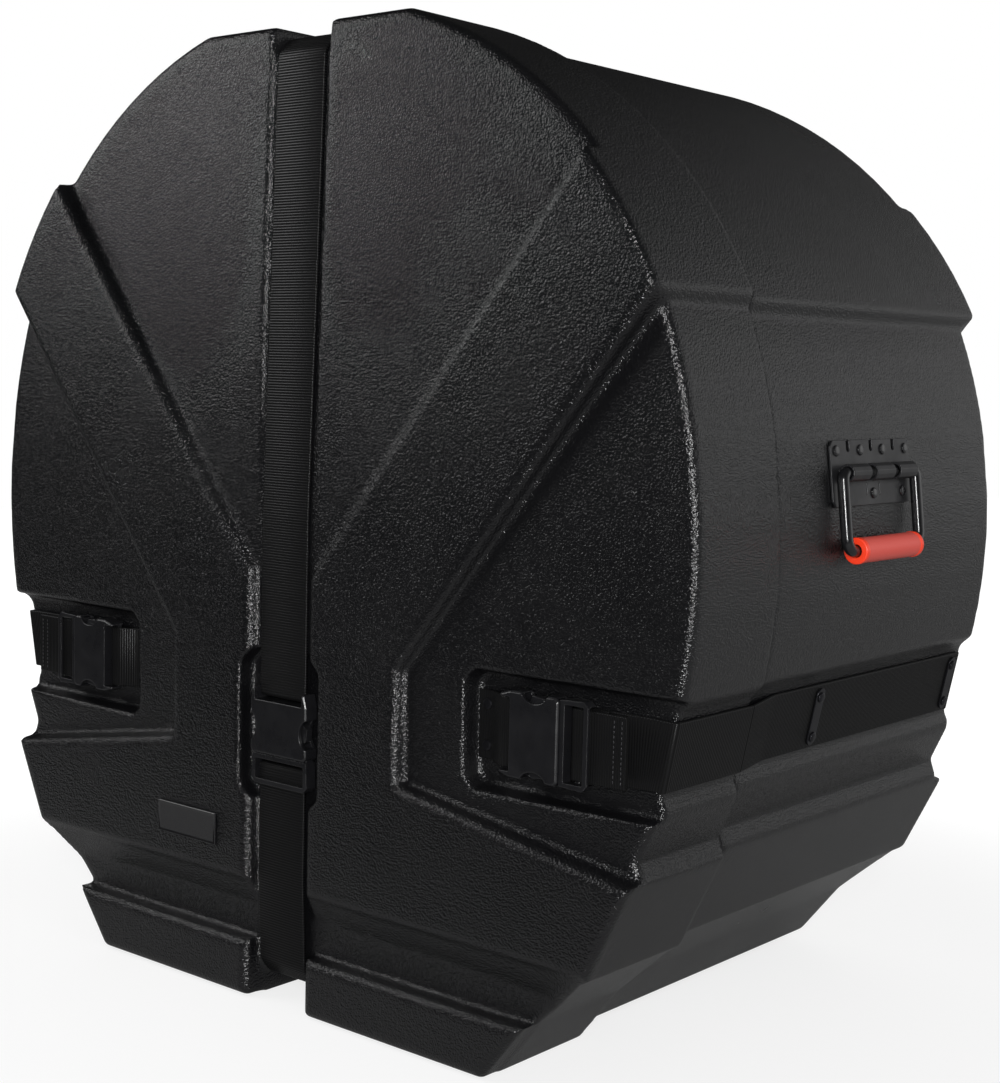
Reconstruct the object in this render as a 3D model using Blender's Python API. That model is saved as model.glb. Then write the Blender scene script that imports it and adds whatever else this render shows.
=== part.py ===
"""Bass drum case: a moulded lid over a moulded base, three webbing straps, two handles.

Metres, +Z up. The lid's front looks along -Y and +X is to the viewer's right. Depths are
worked out from the lid's front (0) to the rear face (DEPTH), then moved so that the
origin lies at the bottom centre of the whole case.
"""
import math

import bmesh
import bpy
from mathutils import Matrix, Vector

# The lid's section, seen from the front: half widths in X and heights above the floor.
# The half widths follow the widest one.
CROWN_HEIGHT = 0.757
CROWN_HALF = 0.108
BULGE_HALF = 0.3715
BULGE_HEIGHT = 0.392
SHOULDER_HALF = BULGE_HALF - 0.0285
SHOULDER_HEIGHT = 0.558
LEDGE_STEP = 0.004
LEDGE_DROP = 0.010
PANEL_HALF = BULGE_HALF - 0.0085
PANEL_HEIGHT = 0.289
BAND_STEP = 0.010
BAND_DROP = 0.009
BAND_FALL = 0.060
BAND_SLANT = 0.012
LIP_FALL = 0.014
LIP_PROUD = 0.004
GROOVE_FALL = 0.036
GROOVE_DEPTH = 0.014
HIP_FALL = 0.014
HIP_PROUD = 0.005
KNEE_HALF = BULGE_HALF - 0.0705
KNEE_HEIGHT = 0.091
KNEE_STEP = 0.008
ANKLE_HALF = BULGE_HALF - 0.1225
ANKLE_HEIGHT = 0.046
SOLE_HALF = BULGE_HALF - 0.1585

# Depths from the lid's front.
SEAM = 0.119
BASE_MOUTH = 0.062
DEPTH = 0.466
WALL = 0.005
RIM_ROUND = 0.006

# The base's mouth goes inside the lid's skirt. Behind the seam the base is wider again.
FIT = 0.0015
BASE_INSET = 0.0065
BODY_INSET = 0.003
BASE_SQUEEZE = 0.984
HEEL_IN = 0.070
HEEL_OUT = 0.150
HEEL_LENGTH = 0.110

# The shallow dome behind the raised panels, on the lid's front and the base's rear.
DOME_HEIGHT = 0.385
DOME_LOW = 0.005
DOME_RISE = 0.011

# The raised panels, right side.
KINK_HEIGHT = 0.342
ARM_TOP_X = BULGE_HALF - 0.0925
ARM_TOP_Z = 0.647
ELBOW_X = 0.125
ELBOW_HEIGHT = 0.283
NOTCH_HEIGHT = 0.198
TOE_HEIGHT = 0.094
TOE_SLOPE = 0.034
PANEL_ROUND = 0.004
PANEL_DRAFT = 0.003

# The channel for the centre strap and the pocket round its buckle.
CHANNEL_HALF = 0.031
CHANNEL_DEPTH = 0.009
CHANNEL_BOTTOM = 0.0215
POCKET_HALF = 0.0435
POCKET_LOW = 0.162
POCKET_HIGH = 0.280
POCKET_CORNER = 0.011
POCKET_DEPTH = 0.0165

# The recesses for the side straps.
RECESS_IN = BULGE_HALF - 0.1915
RECESS_LOW = 0.203
RECESS_HIGH = 0.292
RECESS_DEPTH = 0.028

# Webbing and its side-release buckles. u runs from female to male, w is the height
# above the floor that the buckle lies on.
WEB_WIDTH = 0.050
WEB = 0.0025
GAP = 0.0003
BUCKLE_HALF = 0.031
BUCKLE_LOW = 0.0015
BUCKLE_THICK = 0.014
BUCKLE_PLATE = 0.0032
STRAP_BAR = 0.004
STRAP_SLOT = 0.0055
FEMALE_LENGTH = 0.052
FEMALE_BLOCK = 0.0045
SIDE_WALL = 0.0014
NOTCH_RADIUS = 0.0065
NOTCH_AT = 0.021
PRONG_LENGTH = 0.030
PRONG_ROOT = 0.017
MALE_LENGTH = 0.024
RAIL = 0.004
LADDER_BAR = 0.004
TAIL = 0.030
CENTRE_BUCKLE_TOP = 0.251
SIDE_BUCKLE_X = BULGE_HALF - 0.1565
STUB = 0.031
BAR_DROP = 0.004

# Retaining plates riveted through the straps.
KEEPER_LENGTH = 0.045
KEEPER_WIDTH = 0.011
KEEPER_THICK = 0.0015
KEEPER_PITCH = 0.031
RIVET_RADIUS = 0.0042
RIVET_HEAD = 0.0016
BACKING = 0.0015
SIDE_KEEPER = SEAM + 0.096
SIDE_STRAP_END = DEPTH - 0.026

# The handles: a plate with a rolled barrel, a sprung bail and its grip.
HANDLE_Y = (SEAM + DEPTH) / 2 - 0.0425
HANDLE_HEIGHT = 0.433
PLATE_WIDTH = 0.118
PLATE_UP = 0.024
PLATE_DOWN = 0.024
PLATE_THICK = 0.0018
SLOT_REACH = 0.0085
SLOT_HALF = 0.0024
BARREL_RADIUS = 0.0065
BARREL_LENGTH = 0.097
BAIL_ROD = 0.0044
BAIL_HALF = 0.0545
BAIL_DROP = 0.056
BAIL_TURN = 0.0056
BAIL_BEND = 0.010
GRIP_RADIUS = 0.0095
GRIP_LENGTH = 0.094
BAIL_END = 0.016
RUNNING = 0.0004

# The foam lining and the name plate.
LINER = 0.008
PAD = 0.014
LID_PAD = 0.018
PAD_INSET = 0.0165
REAR_PAD_INSET = 0.023
NAME_WIDTH = 0.070
NAME_HEIGHT = 0.026
NAME_THICK = 0.0016
NAME_X = -0.103
NAME_Z = 0.130

BLACK_SHELL = ((0.012, 0.012, 0.013), 0.55, 0.0)
BLACK_WEB = ((0.010, 0.010, 0.011), 0.85, 0.0)
BLACK_ACETAL = ((0.014, 0.014, 0.015), 0.38, 0.0)
BLACK_STEEL = ((0.012, 0.012, 0.012), 0.30, 0.6)
GREY_STEEL = ((0.16, 0.16, 0.165), 0.40, 0.9)
RED_RUBBER = ((0.60, 0.045, 0.02), 0.50, 0.0)
GREY_FOAM = ((0.06, 0.06, 0.062), 0.95, 0.0)


def clear_scene():
    """Removes what a new scene starts with."""
    for item in list(bpy.data.objects):
        bpy.data.objects.remove(item, do_unlink=True)


def material(name, finish):
    """Makes a Principled material from a colour, a roughness and a metallic value."""
    colour, rough, metal = finish
    made = bpy.data.materials.new(name)
    made.use_nodes = True
    shader = made.node_tree.nodes["Principled BSDF"]
    shader.inputs["Base Color"].default_value = (*colour, 1.0)
    shader.inputs["Roughness"].default_value = rough
    shader.inputs["Metallic"].default_value = metal
    made.diffuse_color = (*colour, 1.0)
    return made


def add_object(name, mesh_edit, finish=None, origin=(0, 0, 0), smooth=None):
    """Turns an edit mesh into a named object with its own material."""
    bmesh.ops.remove_doubles(mesh_edit, verts=mesh_edit.verts, dist=1e-6)
    bmesh.ops.recalc_face_normals(mesh_edit, faces=mesh_edit.faces)
    centre = Vector(origin)
    for vert in mesh_edit.verts:
        vert.co -= centre
    mesh = bpy.data.meshes.new(name)
    mesh_edit.to_mesh(mesh)
    mesh_edit.free()
    if smooth:
        mesh.shade_smooth()
        mesh.set_sharp_from_angle(angle=math.radians(smooth))
    made = bpy.data.objects.new(name, mesh)
    made.location = centre
    bpy.context.scene.collection.objects.link(made)
    if finish:
        mesh.materials.append(material(name, finish))
    return made


def combine(target, tool, operation):
    """Joins, cuts or intersects target with tool, and removes the tool."""
    bpy.context.view_layer.update()
    modifier = target.modifiers.new("combine", "BOOLEAN")
    modifier.operation = operation
    modifier.solver = "EXACT"
    modifier.object = tool
    graph = bpy.context.evaluated_depsgraph_get()
    result = bpy.data.meshes.new_from_object(target.evaluated_get(graph), depsgraph=graph)
    welded = bmesh.new()
    welded.from_mesh(result)
    bmesh.ops.remove_doubles(welded, verts=welded.verts, dist=5e-6)
    bmesh.ops.dissolve_degenerate(welded, edges=welded.edges, dist=5e-6)
    welded.to_mesh(result)
    welded.free()
    old = target.data
    target.modifiers.clear()
    target.data = result
    bpy.data.meshes.remove(old)
    bpy.data.objects.remove(tool, do_unlink=True)
    return target


def skin(rings, cyclic=False):
    """Makes a closed mesh over rings of points, capped at both ends unless cyclic."""
    made = bmesh.new()
    rows = [[made.verts.new(point) for point in ring] for ring in rings]
    count = len(rows[0])
    pairs = list(zip(rows, rows[1:]))
    if cyclic:
        pairs.append((rows[-1], rows[0]))
    for low, high in pairs:
        for i in range(count):
            j = (i + 1) % count
            made.faces.new((low[i], low[j], high[j], high[i]))
    if not cyclic:
        made.faces.new(rows[0])
        made.faces.new(list(reversed(rows[-1])))
    return made


def ring_y(loop, y):
    """Places a section (x, z) at a depth."""
    return [(x, y, z) for x, z in loop]


def prism_y(loop, y0, y1):
    """Extrudes a section (x, z) from depth y0 to y1."""
    return skin([ring_y(loop, y0), ring_y(loop, y1)])


def prism_x(loop, x0, x1):
    """Extrudes a side view (y, z) from x0 to x1."""
    return skin([[(x0, y, z) for y, z in loop], [(x1, y, z) for y, z in loop]])


def offset(loop, distance):
    """Moves a closed section inwards by a distance, or outwards by a negative one."""
    count = len(loop)
    area = sum(loop[i][0] * loop[(i + 1) % count][1] - loop[(i + 1) % count][0] * loop[i][1]
               for i in range(count))
    turn = 1.0 if area > 0 else -1.0
    moved = []
    for i in range(count):
        before = Vector(loop[i]) - Vector(loop[i - 1])
        after = Vector(loop[(i + 1) % count]) - Vector(loop[i])
        before.normalize()
        after.normalize()
        n1 = Vector((-before.y, before.x)) * turn
        n2 = Vector((-after.y, after.x)) * turn
        mitre = (n1 + n2) / (1.0 + n1.dot(n2))
        point = Vector(loop[i]) + mitre * distance
        moved.append((point.x, point.y))
    return moved


def circle_through(first, second, third):
    """Centre and radius of the circle through three points."""
    (ax, az), (bx, bz), (cx, cz) = first, second, third
    d = 2 * (ax * (bz - cz) + bx * (cz - az) + cx * (az - bz))
    a2, b2, c2 = ax * ax + az * az, bx * bx + bz * bz, cx * cx + cz * cz
    x = (a2 * (bz - cz) + b2 * (cz - az) + c2 * (az - bz)) / d
    z = (a2 * (cx - bx) + b2 * (ax - cx) + c2 * (bx - ax)) / d
    return (x, z), math.hypot(ax - x, az - z)


def crown_arc(steps=15):
    """The upper arc, centred on X = 0, from the crown's corner to the shoulder."""
    rise = CROWN_HEIGHT ** 2 - SHOULDER_HEIGHT ** 2 + CROWN_HALF ** 2 - SHOULDER_HALF ** 2
    centre = rise / (2 * (CROWN_HEIGHT - SHOULDER_HEIGHT))
    radius = math.hypot(CROWN_HALF, CROWN_HEIGHT - centre)
    first = math.atan2(CROWN_HEIGHT - centre, CROWN_HALF)
    last = math.atan2(SHOULDER_HEIGHT - centre, SHOULDER_HALF)
    return [(radius * math.cos(first + (last - first) * i / steps),
             centre + radius * math.sin(first + (last - first) * i / steps))
            for i in range(steps + 1)]


def flank_x(height):
    """Half width of the bulging flank at a height, on one arc through three points."""
    shoulder = (SHOULDER_HALF - LEDGE_STEP, SHOULDER_HEIGHT - LEDGE_DROP)
    (cx, cz), radius = circle_through(shoulder, (BULGE_HALF, BULGE_HEIGHT),
                                      (PANEL_HALF, PANEL_HEIGHT))
    return cx + math.sqrt(radius ** 2 - (height - cz) ** 2)


def flank():
    """The bulging flank, with one flat stretch where the handle sits."""
    top = SHOULDER_HEIGHT - LEDGE_DROP
    seat_high = HANDLE_HEIGHT + PLATE_UP + 0.003
    seat_low = HANDLE_HEIGHT - PLATE_DOWN - 0.003
    heights = [top + (seat_high - top) * i / 4 for i in range(4)] + [seat_high]
    heights += [seat_low + (PANEL_HEIGHT - seat_low) * i / 4 for i in range(5)]
    return [(flank_x(z), z) for z in heights]


BAND_TOP = (PANEL_HALF - BAND_STEP, PANEL_HEIGHT - BAND_DROP)
BAND_LOW = (BAND_TOP[0] - BAND_SLANT, BAND_TOP[1] - BAND_FALL)


def lid_half():
    """The right half of the lid's section, from the crown down to the sole."""
    lip = (BAND_LOW[0] + LIP_PROUD, BAND_LOW[1] - LIP_FALL / 2)
    lip_low = (lip[0] - LIP_PROUD / 4, lip[1] - LIP_FALL / 2)
    groove = (lip[0] - GROOVE_DEPTH, lip[1] - GROOVE_FALL)
    hip = (groove[0] + HIP_PROUD, groove[1] - HIP_FALL)
    return (crown_arc()
            + flank()
            + [BAND_TOP, BAND_LOW, lip, lip_low, groove, hip,
               (KNEE_HALF, KNEE_HEIGHT),
               (KNEE_HALF - KNEE_STEP, KNEE_HEIGHT - KNEE_STEP / 2),
               (ANKLE_HALF, ANKLE_HEIGHT), (SOLE_HALF, 0.0)])


def both_halves(half):
    """Closes a right half, listed top to bottom, with its mirror image."""
    return half + [(-x, z) for x, z in reversed(half)]


LID_SECTION = both_halves(lid_half())


def scaled(loop, share):
    """Draws a section in towards the dome's middle."""
    return [(x * share, DOME_HEIGHT + (z - DOME_HEIGHT) * share) for x, z in loop]


def drawn_in(loop, distance):
    """Draws a section in so that its flanks move by a distance."""
    return scaled(loop, 1 - distance / BULGE_HALF)


def base_section(inset):
    """A section of the base: the lid's, moved in and drawn in a little at top and bottom."""
    middle = CROWN_HEIGHT / 2
    return [(x, middle + (z - middle) * BASE_SQUEEZE)
            for x, z in drawn_in(LID_SECTION, inset)]


BASE_SECTION = base_section(BASE_INSET)
BODY_SECTION = base_section(BODY_INSET)
BODY_BOTTOM = min(z for x, z in BODY_SECTION)
# The base's wall steps outwards behind the lid's edge, and its hollow one wall later.
BODY_START_Y = SEAM + 3 * GAP
STEP_Y = BODY_START_Y + WALL
BASE_TOP = max(z for x, z in BASE_SECTION)
BASE_BOTTOM = min(z for x, z in BASE_SECTION)
LID_CHANNEL_TOP = BASE_TOP - CHANNEL_DEPTH / 2 + FIT + WALL
BASE_CHANNEL_TOP = LID_CHANNEL_TOP - WALL - FIT
BASE_CHANNEL_BOTTOM = CHANNEL_BOTTOM + WALL + FIT
BASE_CHANNEL_HALF = CHANNEL_HALF + WALL + FIT


def domed_block(section, back, face, sign, depth_in=0.0, rim=RIM_ROUND):
    """A section's block with a rounded rim and a shallow dome for its front.

    face is the plane of the raised panels, sign +1 where depth grows away from it.
    """
    rim_y = DOME_LOW + DOME_RISE + depth_in
    inner = drawn_in(section, rim)
    rings = [ring_y(section, back),
             ring_y(section, face + sign * (rim_y + rim)),
             ring_y(drawn_in(section, rim * 0.13), face + sign * (rim_y + rim * 0.5)),
             ring_y(drawn_in(section, rim * 0.5), face + sign * (rim_y + rim * 0.13)),
             ring_y(inner, face + sign * rim_y)]
    for share in (0.66, 0.33):
        y = DOME_LOW + DOME_RISE * share + depth_in
        rings.append(ring_y(scaled(inner, share), face + sign * y))
    return skin(rings)


def rim_block(section, face, sign):
    """What a raised panel may fill: the section with a rounded front edge."""
    inside = drawn_in(section, GAP / 3)
    depth = DOME_LOW + DOME_RISE + 3 * RIM_ROUND
    return skin([ring_y(inside, face + sign * depth),
                 ring_y(inside, face + sign * RIM_ROUND * 0.8),
                 ring_y(drawn_in(inside, RIM_ROUND * 0.18), face + sign * RIM_ROUND * 0.3),
                 ring_y(drawn_in(inside, RIM_ROUND * 0.6), face)])


def panel_loop(reach):
    """The right raised panel: an arm from the rim to the channel, then a flared skirt."""
    run = Vector((ARM_TOP_X - CHANNEL_HALF, ARM_TOP_Z - KINK_HEIGHT)).normalized()
    fall = Vector((SHOULDER_HALF - ELBOW_X, SHOULDER_HEIGHT - ELBOW_HEIGHT)).normalized()
    edge = CHANNEL_HALF + GAP * 4
    hip = Vector(lid_half()[-5])
    skirt = Vector((hip.x - ELBOW_X, hip.y - 4 * GAP - NOTCH_HEIGHT)).normalized()
    return [(edge, KINK_HEIGHT),
            (edge, TOE_HEIGHT),
            (KNEE_HALF + reach, TOE_HEIGHT - 2 * GAP),
            (hip.x + skirt.x * reach, hip.y + skirt.y * reach),
            (ELBOW_X, NOTCH_HEIGHT),
            (ELBOW_X, ELBOW_HEIGHT),
            (SHOULDER_HALF + fall.x * reach, SHOULDER_HEIGHT + fall.y * reach),
            (ARM_TOP_X + run.x * reach * 2, ARM_TOP_Z + run.y * reach * 2)]


def raised_panel(section, face, sign, inset=0.0, front=0.0):
    """A raised panel's block, chamfered at its front and drafted towards its back."""
    loop = offset(panel_loop(0.05), inset)
    low = min(z for x, z in loop)
    back = offset(loop, -PANEL_DRAFT)
    back = [(x, z - TOE_SLOPE if z < low + 0.01 else z) for x, z in back]
    deep = DOME_LOW + DOME_RISE + RIM_ROUND
    block = skin([ring_y(back, face + sign * (deep + front)),
                  ring_y(loop, face + sign * (PANEL_ROUND + front)),
                  ring_y(offset(loop, PANEL_ROUND), face + sign * front)])
    made = add_object("panel", block)
    limit = add_object("limit", rim_block(drawn_in(section, inset), face + sign * front, sign))
    return combine(made, limit, "INTERSECT")


def foot_block(face, sign, drop):
    """A raised foot under the panel, right side."""
    loop = [(CHANNEL_HALF + GAP * 4, ANKLE_HEIGHT), (CHANNEL_HALF + GAP * 4, drop),
            (SOLE_HALF - 2 * GAP, drop), (ANKLE_HALF - 2 * GAP, ANKLE_HEIGHT)]
    deep = DOME_LOW + DOME_RISE + RIM_ROUND
    return skin([ring_y(loop, face + sign * deep),
                 ring_y(loop, face + sign * PANEL_ROUND),
                 ring_y(offset(loop, PANEL_ROUND), face)])


def mirror_copy(source, name="mirrored"):
    """A mirrored copy of an object on the other side of X = 0."""
    mesh = source.data.copy()
    for vert in mesh.vertices:
        vert.co.x = -vert.co.x
    mesh.flip_normals()
    made = bpy.data.objects.new(name, mesh)
    made.location = (-source.location.x, source.location.y, source.location.z)
    bpy.context.scene.collection.objects.link(made)
    if mesh.materials:
        mesh.materials[0] = mesh.materials[0].copy()
        mesh.materials[0].name = name
    return made


def on_both_sides(target, mesh_edit, operation):
    """Combines a right-hand shape and its mirror image with target."""
    tool = add_object("tool", mesh_edit)
    other = mirror_copy(tool)
    combine(target, tool, operation)
    combine(target, other, operation)


def strap_floor(face, sign, top, bottom, back, grow=0.0):
    """The side view of the centre channel's floor, then the air outside it.

    grow moves the floor into the shell, for the wall behind the channel.
    """
    rim_y = DOME_LOW + DOME_RISE
    high = face + sign * (rim_y + CHANNEL_DEPTH * 0.4 + grow)
    mid = face + sign * (CHANNEL_DEPTH + grow)
    turn = 0.012
    floor = [(back, top - grow), (high + sign * turn, top - grow), (high, top - turn - grow),
             (mid, DOME_HEIGHT), (mid, TOE_HEIGHT + 0.01),
             (mid + sign * 0.003, bottom + turn + grow), (mid + sign * turn, bottom + grow),
             (back, bottom + grow)]
    far = face - sign * 0.05
    return floor + [(back, -0.05), (far, -0.05), (far, CROWN_HEIGHT + 0.05),
                    (back, CROWN_HEIGHT + 0.05)]


def pocket_loop(grow=0.0):
    """The widened stretch of channel round the centre buckle."""
    x, c = POCKET_HALF + grow, POCKET_CORNER
    low, high = POCKET_LOW - grow, POCKET_HIGH + grow
    half = [(x - c, high), (x, high - c), (x, low + c), (x - c, low)]
    return both_halves(half)


def recess_block(grow=0.0, depth=RECESS_DEPTH):
    """The right side-strap recess, open to the side, with drafted walls."""
    near = RECESS_IN - grow
    low, high = RECESS_LOW - grow, RECESS_HIGH + grow
    out = BULGE_HALF + 0.06
    corner = 0.008
    loop = [(near, low + corner), (near, high - corner), (near + corner, high),
            (out, high), (out, low), (near + corner, low)]
    floor = [(x + (0.003 if x < out else 0), z + (0.004 if z < RECESS_LOW + 0.02 else -0.003))
             for x, z in loop]
    return skin([ring_y(loop, -0.05), ring_y(loop, DOME_LOW), ring_y(floor, depth)])


def lid_shell():
    """The lid: domed front, raised panels and feet, channel, pocket and recesses."""
    shell = add_object("lid_shell", domed_block(LID_SECTION, SEAM, 0.0, 1), BLACK_SHELL)
    for block in (raised_panel(LID_SECTION, 0.0, 1), add_object("foot", foot_block(0, 1, 2 * GAP))):
        other = mirror_copy(block)
        combine(shell, block, "UNION")
        combine(shell, other, "UNION")
    on_both_sides(shell, recess_block(), "DIFFERENCE")
    channel = strap_floor(0.0, 1, LID_CHANNEL_TOP, CHANNEL_BOTTOM, SEAM + 0.03)
    combine(shell, add_object("channel", prism_x(channel, -CHANNEL_HALF, CHANNEL_HALF)),
            "DIFFERENCE")
    combine(shell, add_object("pocket", prism_y(pocket_loop(), -0.05, POCKET_DEPTH)),
            "DIFFERENCE")
    return combine(shell, lid_cavity(), "DIFFERENCE")


def lid_cavity():
    """The lid's hollow, which keeps one wall behind every channel and recess."""
    section = drawn_in(BASE_SECTION, -FIT)
    hollow = add_object("hollow", domed_block(section, SEAM + 0.03, 0.0, 1, WALL))
    channel = strap_floor(0.0, 1, LID_CHANNEL_TOP, CHANNEL_BOTTOM, SEAM + 0.04, WALL)
    half = CHANNEL_HALF + WALL
    combine(hollow, add_object("bump", prism_x(channel, -half, half)), "DIFFERENCE")
    combine(hollow, add_object("bump", prism_y(pocket_loop(WALL), -0.05, POCKET_DEPTH + WALL)),
            "DIFFERENCE")
    on_both_sides(hollow, recess_block(WALL, RECESS_DEPTH + WALL), "DIFFERENCE")
    return hollow


def stepped(made, wide, start):
    """Widens a block from the seam on: joins a wider block that starts there."""
    return combine(made, add_object("body", domed_block(wide, start, DEPTH, -1)), "UNION")


def base_shell():
    """The base: a deep cup whose mouth goes inside the lid, with a panelled rear."""
    mouth = prism_y(BASE_SECTION, BASE_MOUTH, SEAM + WALL)
    shell = stepped(add_object("base_shell", mouth, BLACK_SHELL), BODY_SECTION, BODY_START_Y)
    panel = raised_panel(BODY_SECTION, DEPTH, -1)
    other = mirror_copy(panel)
    combine(shell, panel, "UNION")
    combine(shell, other, "UNION")
    heel_back = DEPTH - DOME_LOW - DOME_RISE - RIM_ROUND
    on_both_sides(shell, heel_pad(heel_back), "UNION")
    channel = strap_floor(DEPTH, -1, BASE_CHANNEL_TOP, BASE_CHANNEL_BOTTOM, BASE_MOUTH - 0.02)
    half = BASE_CHANNEL_HALF
    combine(shell, add_object("channel", prism_x(channel, -half, half)), "DIFFERENCE")
    hollow = add_object("hollow", domed_block(drawn_in(BODY_SECTION, WALL), STEP_Y,
                                              DEPTH, -1, WALL))
    mouth = prism_y(drawn_in(BASE_SECTION, WALL), BASE_MOUTH - 0.02, STEP_Y + 0.02)
    combine(hollow, add_object("mouth", mouth), "UNION")
    bump = strap_floor(DEPTH, -1, BASE_CHANNEL_TOP, BASE_CHANNEL_BOTTOM, BASE_MOUTH - 0.03, WALL)
    half = BASE_CHANNEL_HALF + WALL
    combine(hollow, add_object("bump", prism_x(bump, -half, half)), "DIFFERENCE")
    return combine(shell, hollow, "DIFFERENCE")


def heel_pad(back):
    """A moulded pad under the base that levels it with the lid's feet."""
    top = BODY_BOTTOM + WALL / 2
    flare = 0.006
    loop = [(HEEL_IN, back - HEEL_LENGTH), (HEEL_OUT, back - HEEL_LENGTH), (HEEL_OUT, back),
            (HEEL_IN, back)]
    rings = []
    for z, grow in ((0.0, 0.0), (0.003, -0.003), (top, -flare)):
        rings.append([(x, y, z) for x, y in offset(loop, grow)])
    return skin(rings)


def foam_ring():
    """The lining of the base's wall."""
    outer = drawn_in(BASE_SECTION, WALL + GAP)
    inner = drawn_in(outer, LINER)
    front = BASE_MOUTH + 0.004
    back = DEPTH - POCKET_DEPTH - 2 * WALL - PAD
    made = add_object("wall_lining", prism_y(outer, front, back), GREY_FOAM)
    wide = drawn_in(BODY_SECTION, WALL + GAP)
    combine(made, add_object("body", prism_y(wide, STEP_Y + 3 * GAP, back)), "UNION")
    combine(made, add_object("bore", prism_y(inner, front - 0.01, back + 0.01)), "DIFFERENCE")
    half = BASE_CHANNEL_HALF + WALL + GAP
    for top, low in ((BASE_TOP + 0.01, BASE_CHANNEL_TOP - WALL - GAP),
                     (BASE_CHANNEL_BOTTOM + WALL + GAP, -0.01)):
        loop = [(-half, low), (half, low), (half, top), (-half, top)]
        combine(made, add_object("relief", prism_y(loop, front - 0.01, back + 0.01)),
                "DIFFERENCE")
    return made


def foam_pad(name, section_inset, y0, y1):
    """A flat foam disc with softened edges."""
    edge = 0.004
    outer = drawn_in(BASE_SECTION, section_inset)
    inner = drawn_in(outer, edge)
    return add_object(name, skin([ring_y(inner, y0), ring_y(outer, y0 + edge),
                                  ring_y(outer, y1 - edge), ring_y(inner, y1)]), GREY_FOAM)


def band_frame(section):
    """Middle, direction and outward normal of a section's right strap band."""
    start = lid_half().index(BAND_TOP)
    top, low = Vector(section[start]), Vector(section[start + 1])
    along = (top - low).normalized()
    normal = Vector((along.y, -along.x))
    return (top + low) / 2, along, normal


def strip(stations, width=WEB_WIDTH, thick=WEB):
    """A flat strap through stations of (point, across, normal) on its inner face."""
    rings = []
    for point, across, normal in stations:
        half = Vector(across).normalized() * (width / 2)
        rise = Vector(normal).normalized() * thick
        base = Vector(point)
        rings.append([base - half, base + half, base + half + rise, base - half + rise])
    return skin(rings)


def path_strip(path, frame, width=WEB_WIDTH, thick=WEB):
    """A strap whose middle line runs through points (u, w) of a buckle's frame."""
    left = []
    right = []
    for i, point in enumerate(path):
        before = Vector(path[max(i - 1, 0)])
        after = Vector(path[min(i + 1, len(path) - 1)])
        here = Vector(point)
        d1 = (here - before).normalized() if i else (after - here).normalized()
        d2 = (after - here).normalized() if i < len(path) - 1 else d1
        n1, n2 = Vector((-d1.y, d1.x)), Vector((-d2.y, d2.x))
        mitre = (n1 + n2) / (1.0 + n1.dot(n2)) * (thick / 2)
        left.append(here + mitre)
        right.append(here - mitre)
    loop = left + right[::-1]
    rings = [[frame @ Vector((p.x, side * width / 2, p.y)) for p in loop] for side in (-1, 1)]
    return skin(rings)


def frame_prism(loop, frame, w0, w1):
    """Extrudes a plan (u, v) from height w0 to w1 in a buckle's frame."""
    return skin([[frame @ Vector((u, v, w)) for u, v in loop] for w in (w0, w1)])


def box_loop(u0, u1, v0, v1):
    """A rectangle in plan."""
    return [(u0, v0), (u1, v0), (u1, v1), (u0, v1)]


def disc_loop(u, v, radius, steps=14):
    """A circle in plan."""
    return [(u + radius * math.cos(2 * math.pi * i / steps),
             v + radius * math.sin(2 * math.pi * i / steps)) for i in range(steps)]


def buckle_frame(origin, along, out):
    """Axes of a buckle: u along its strap, w out of the case, v across."""
    u, w = Vector(along), Vector(out)
    v = w.cross(u)
    made = Matrix.Translation(Vector(origin)).to_4x4()
    for column, axis in enumerate((u, v, w)):
        for row in range(3):
            made[row][column] = axis[row]
    return made


BUCKLE_HIGH = BUCKLE_LOW + BUCKLE_THICK
SLOT_LOW = BUCKLE_LOW + BUCKLE_PLATE
SLOT_HIGH = BUCKLE_HIGH - BUCKLE_PLATE
WEB_HALF = WEB_WIDTH / 2
BODY_START = STRAP_BAR + STRAP_SLOT
# Both straps meet their bars level with the channel's floor.
STRAP_LEVEL = POCKET_DEPTH - CHANNEL_DEPTH + GAP + WEB / 2
BAR_HIGH = STRAP_LEVEL - WEB / 2 - GAP
BAR_LOW = BAR_HIGH - BAR_DROP
MALE_START = FEMALE_LENGTH + GAP
FIRST_SLOT = MALE_START + LADDER_BAR
LADDER_A = FIRST_SLOT + 0.006
LADDER_B = MALE_START + MALE_LENGTH - LADDER_BAR
TUCKED_LEVEL = BAR_LOW - GAP - WEB / 2
BAR_B_LOW = STRAP_LEVEL + WEB / 2 + GAP
BAR_B_HIGH = BUCKLE_HIGH - 0.002


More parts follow.
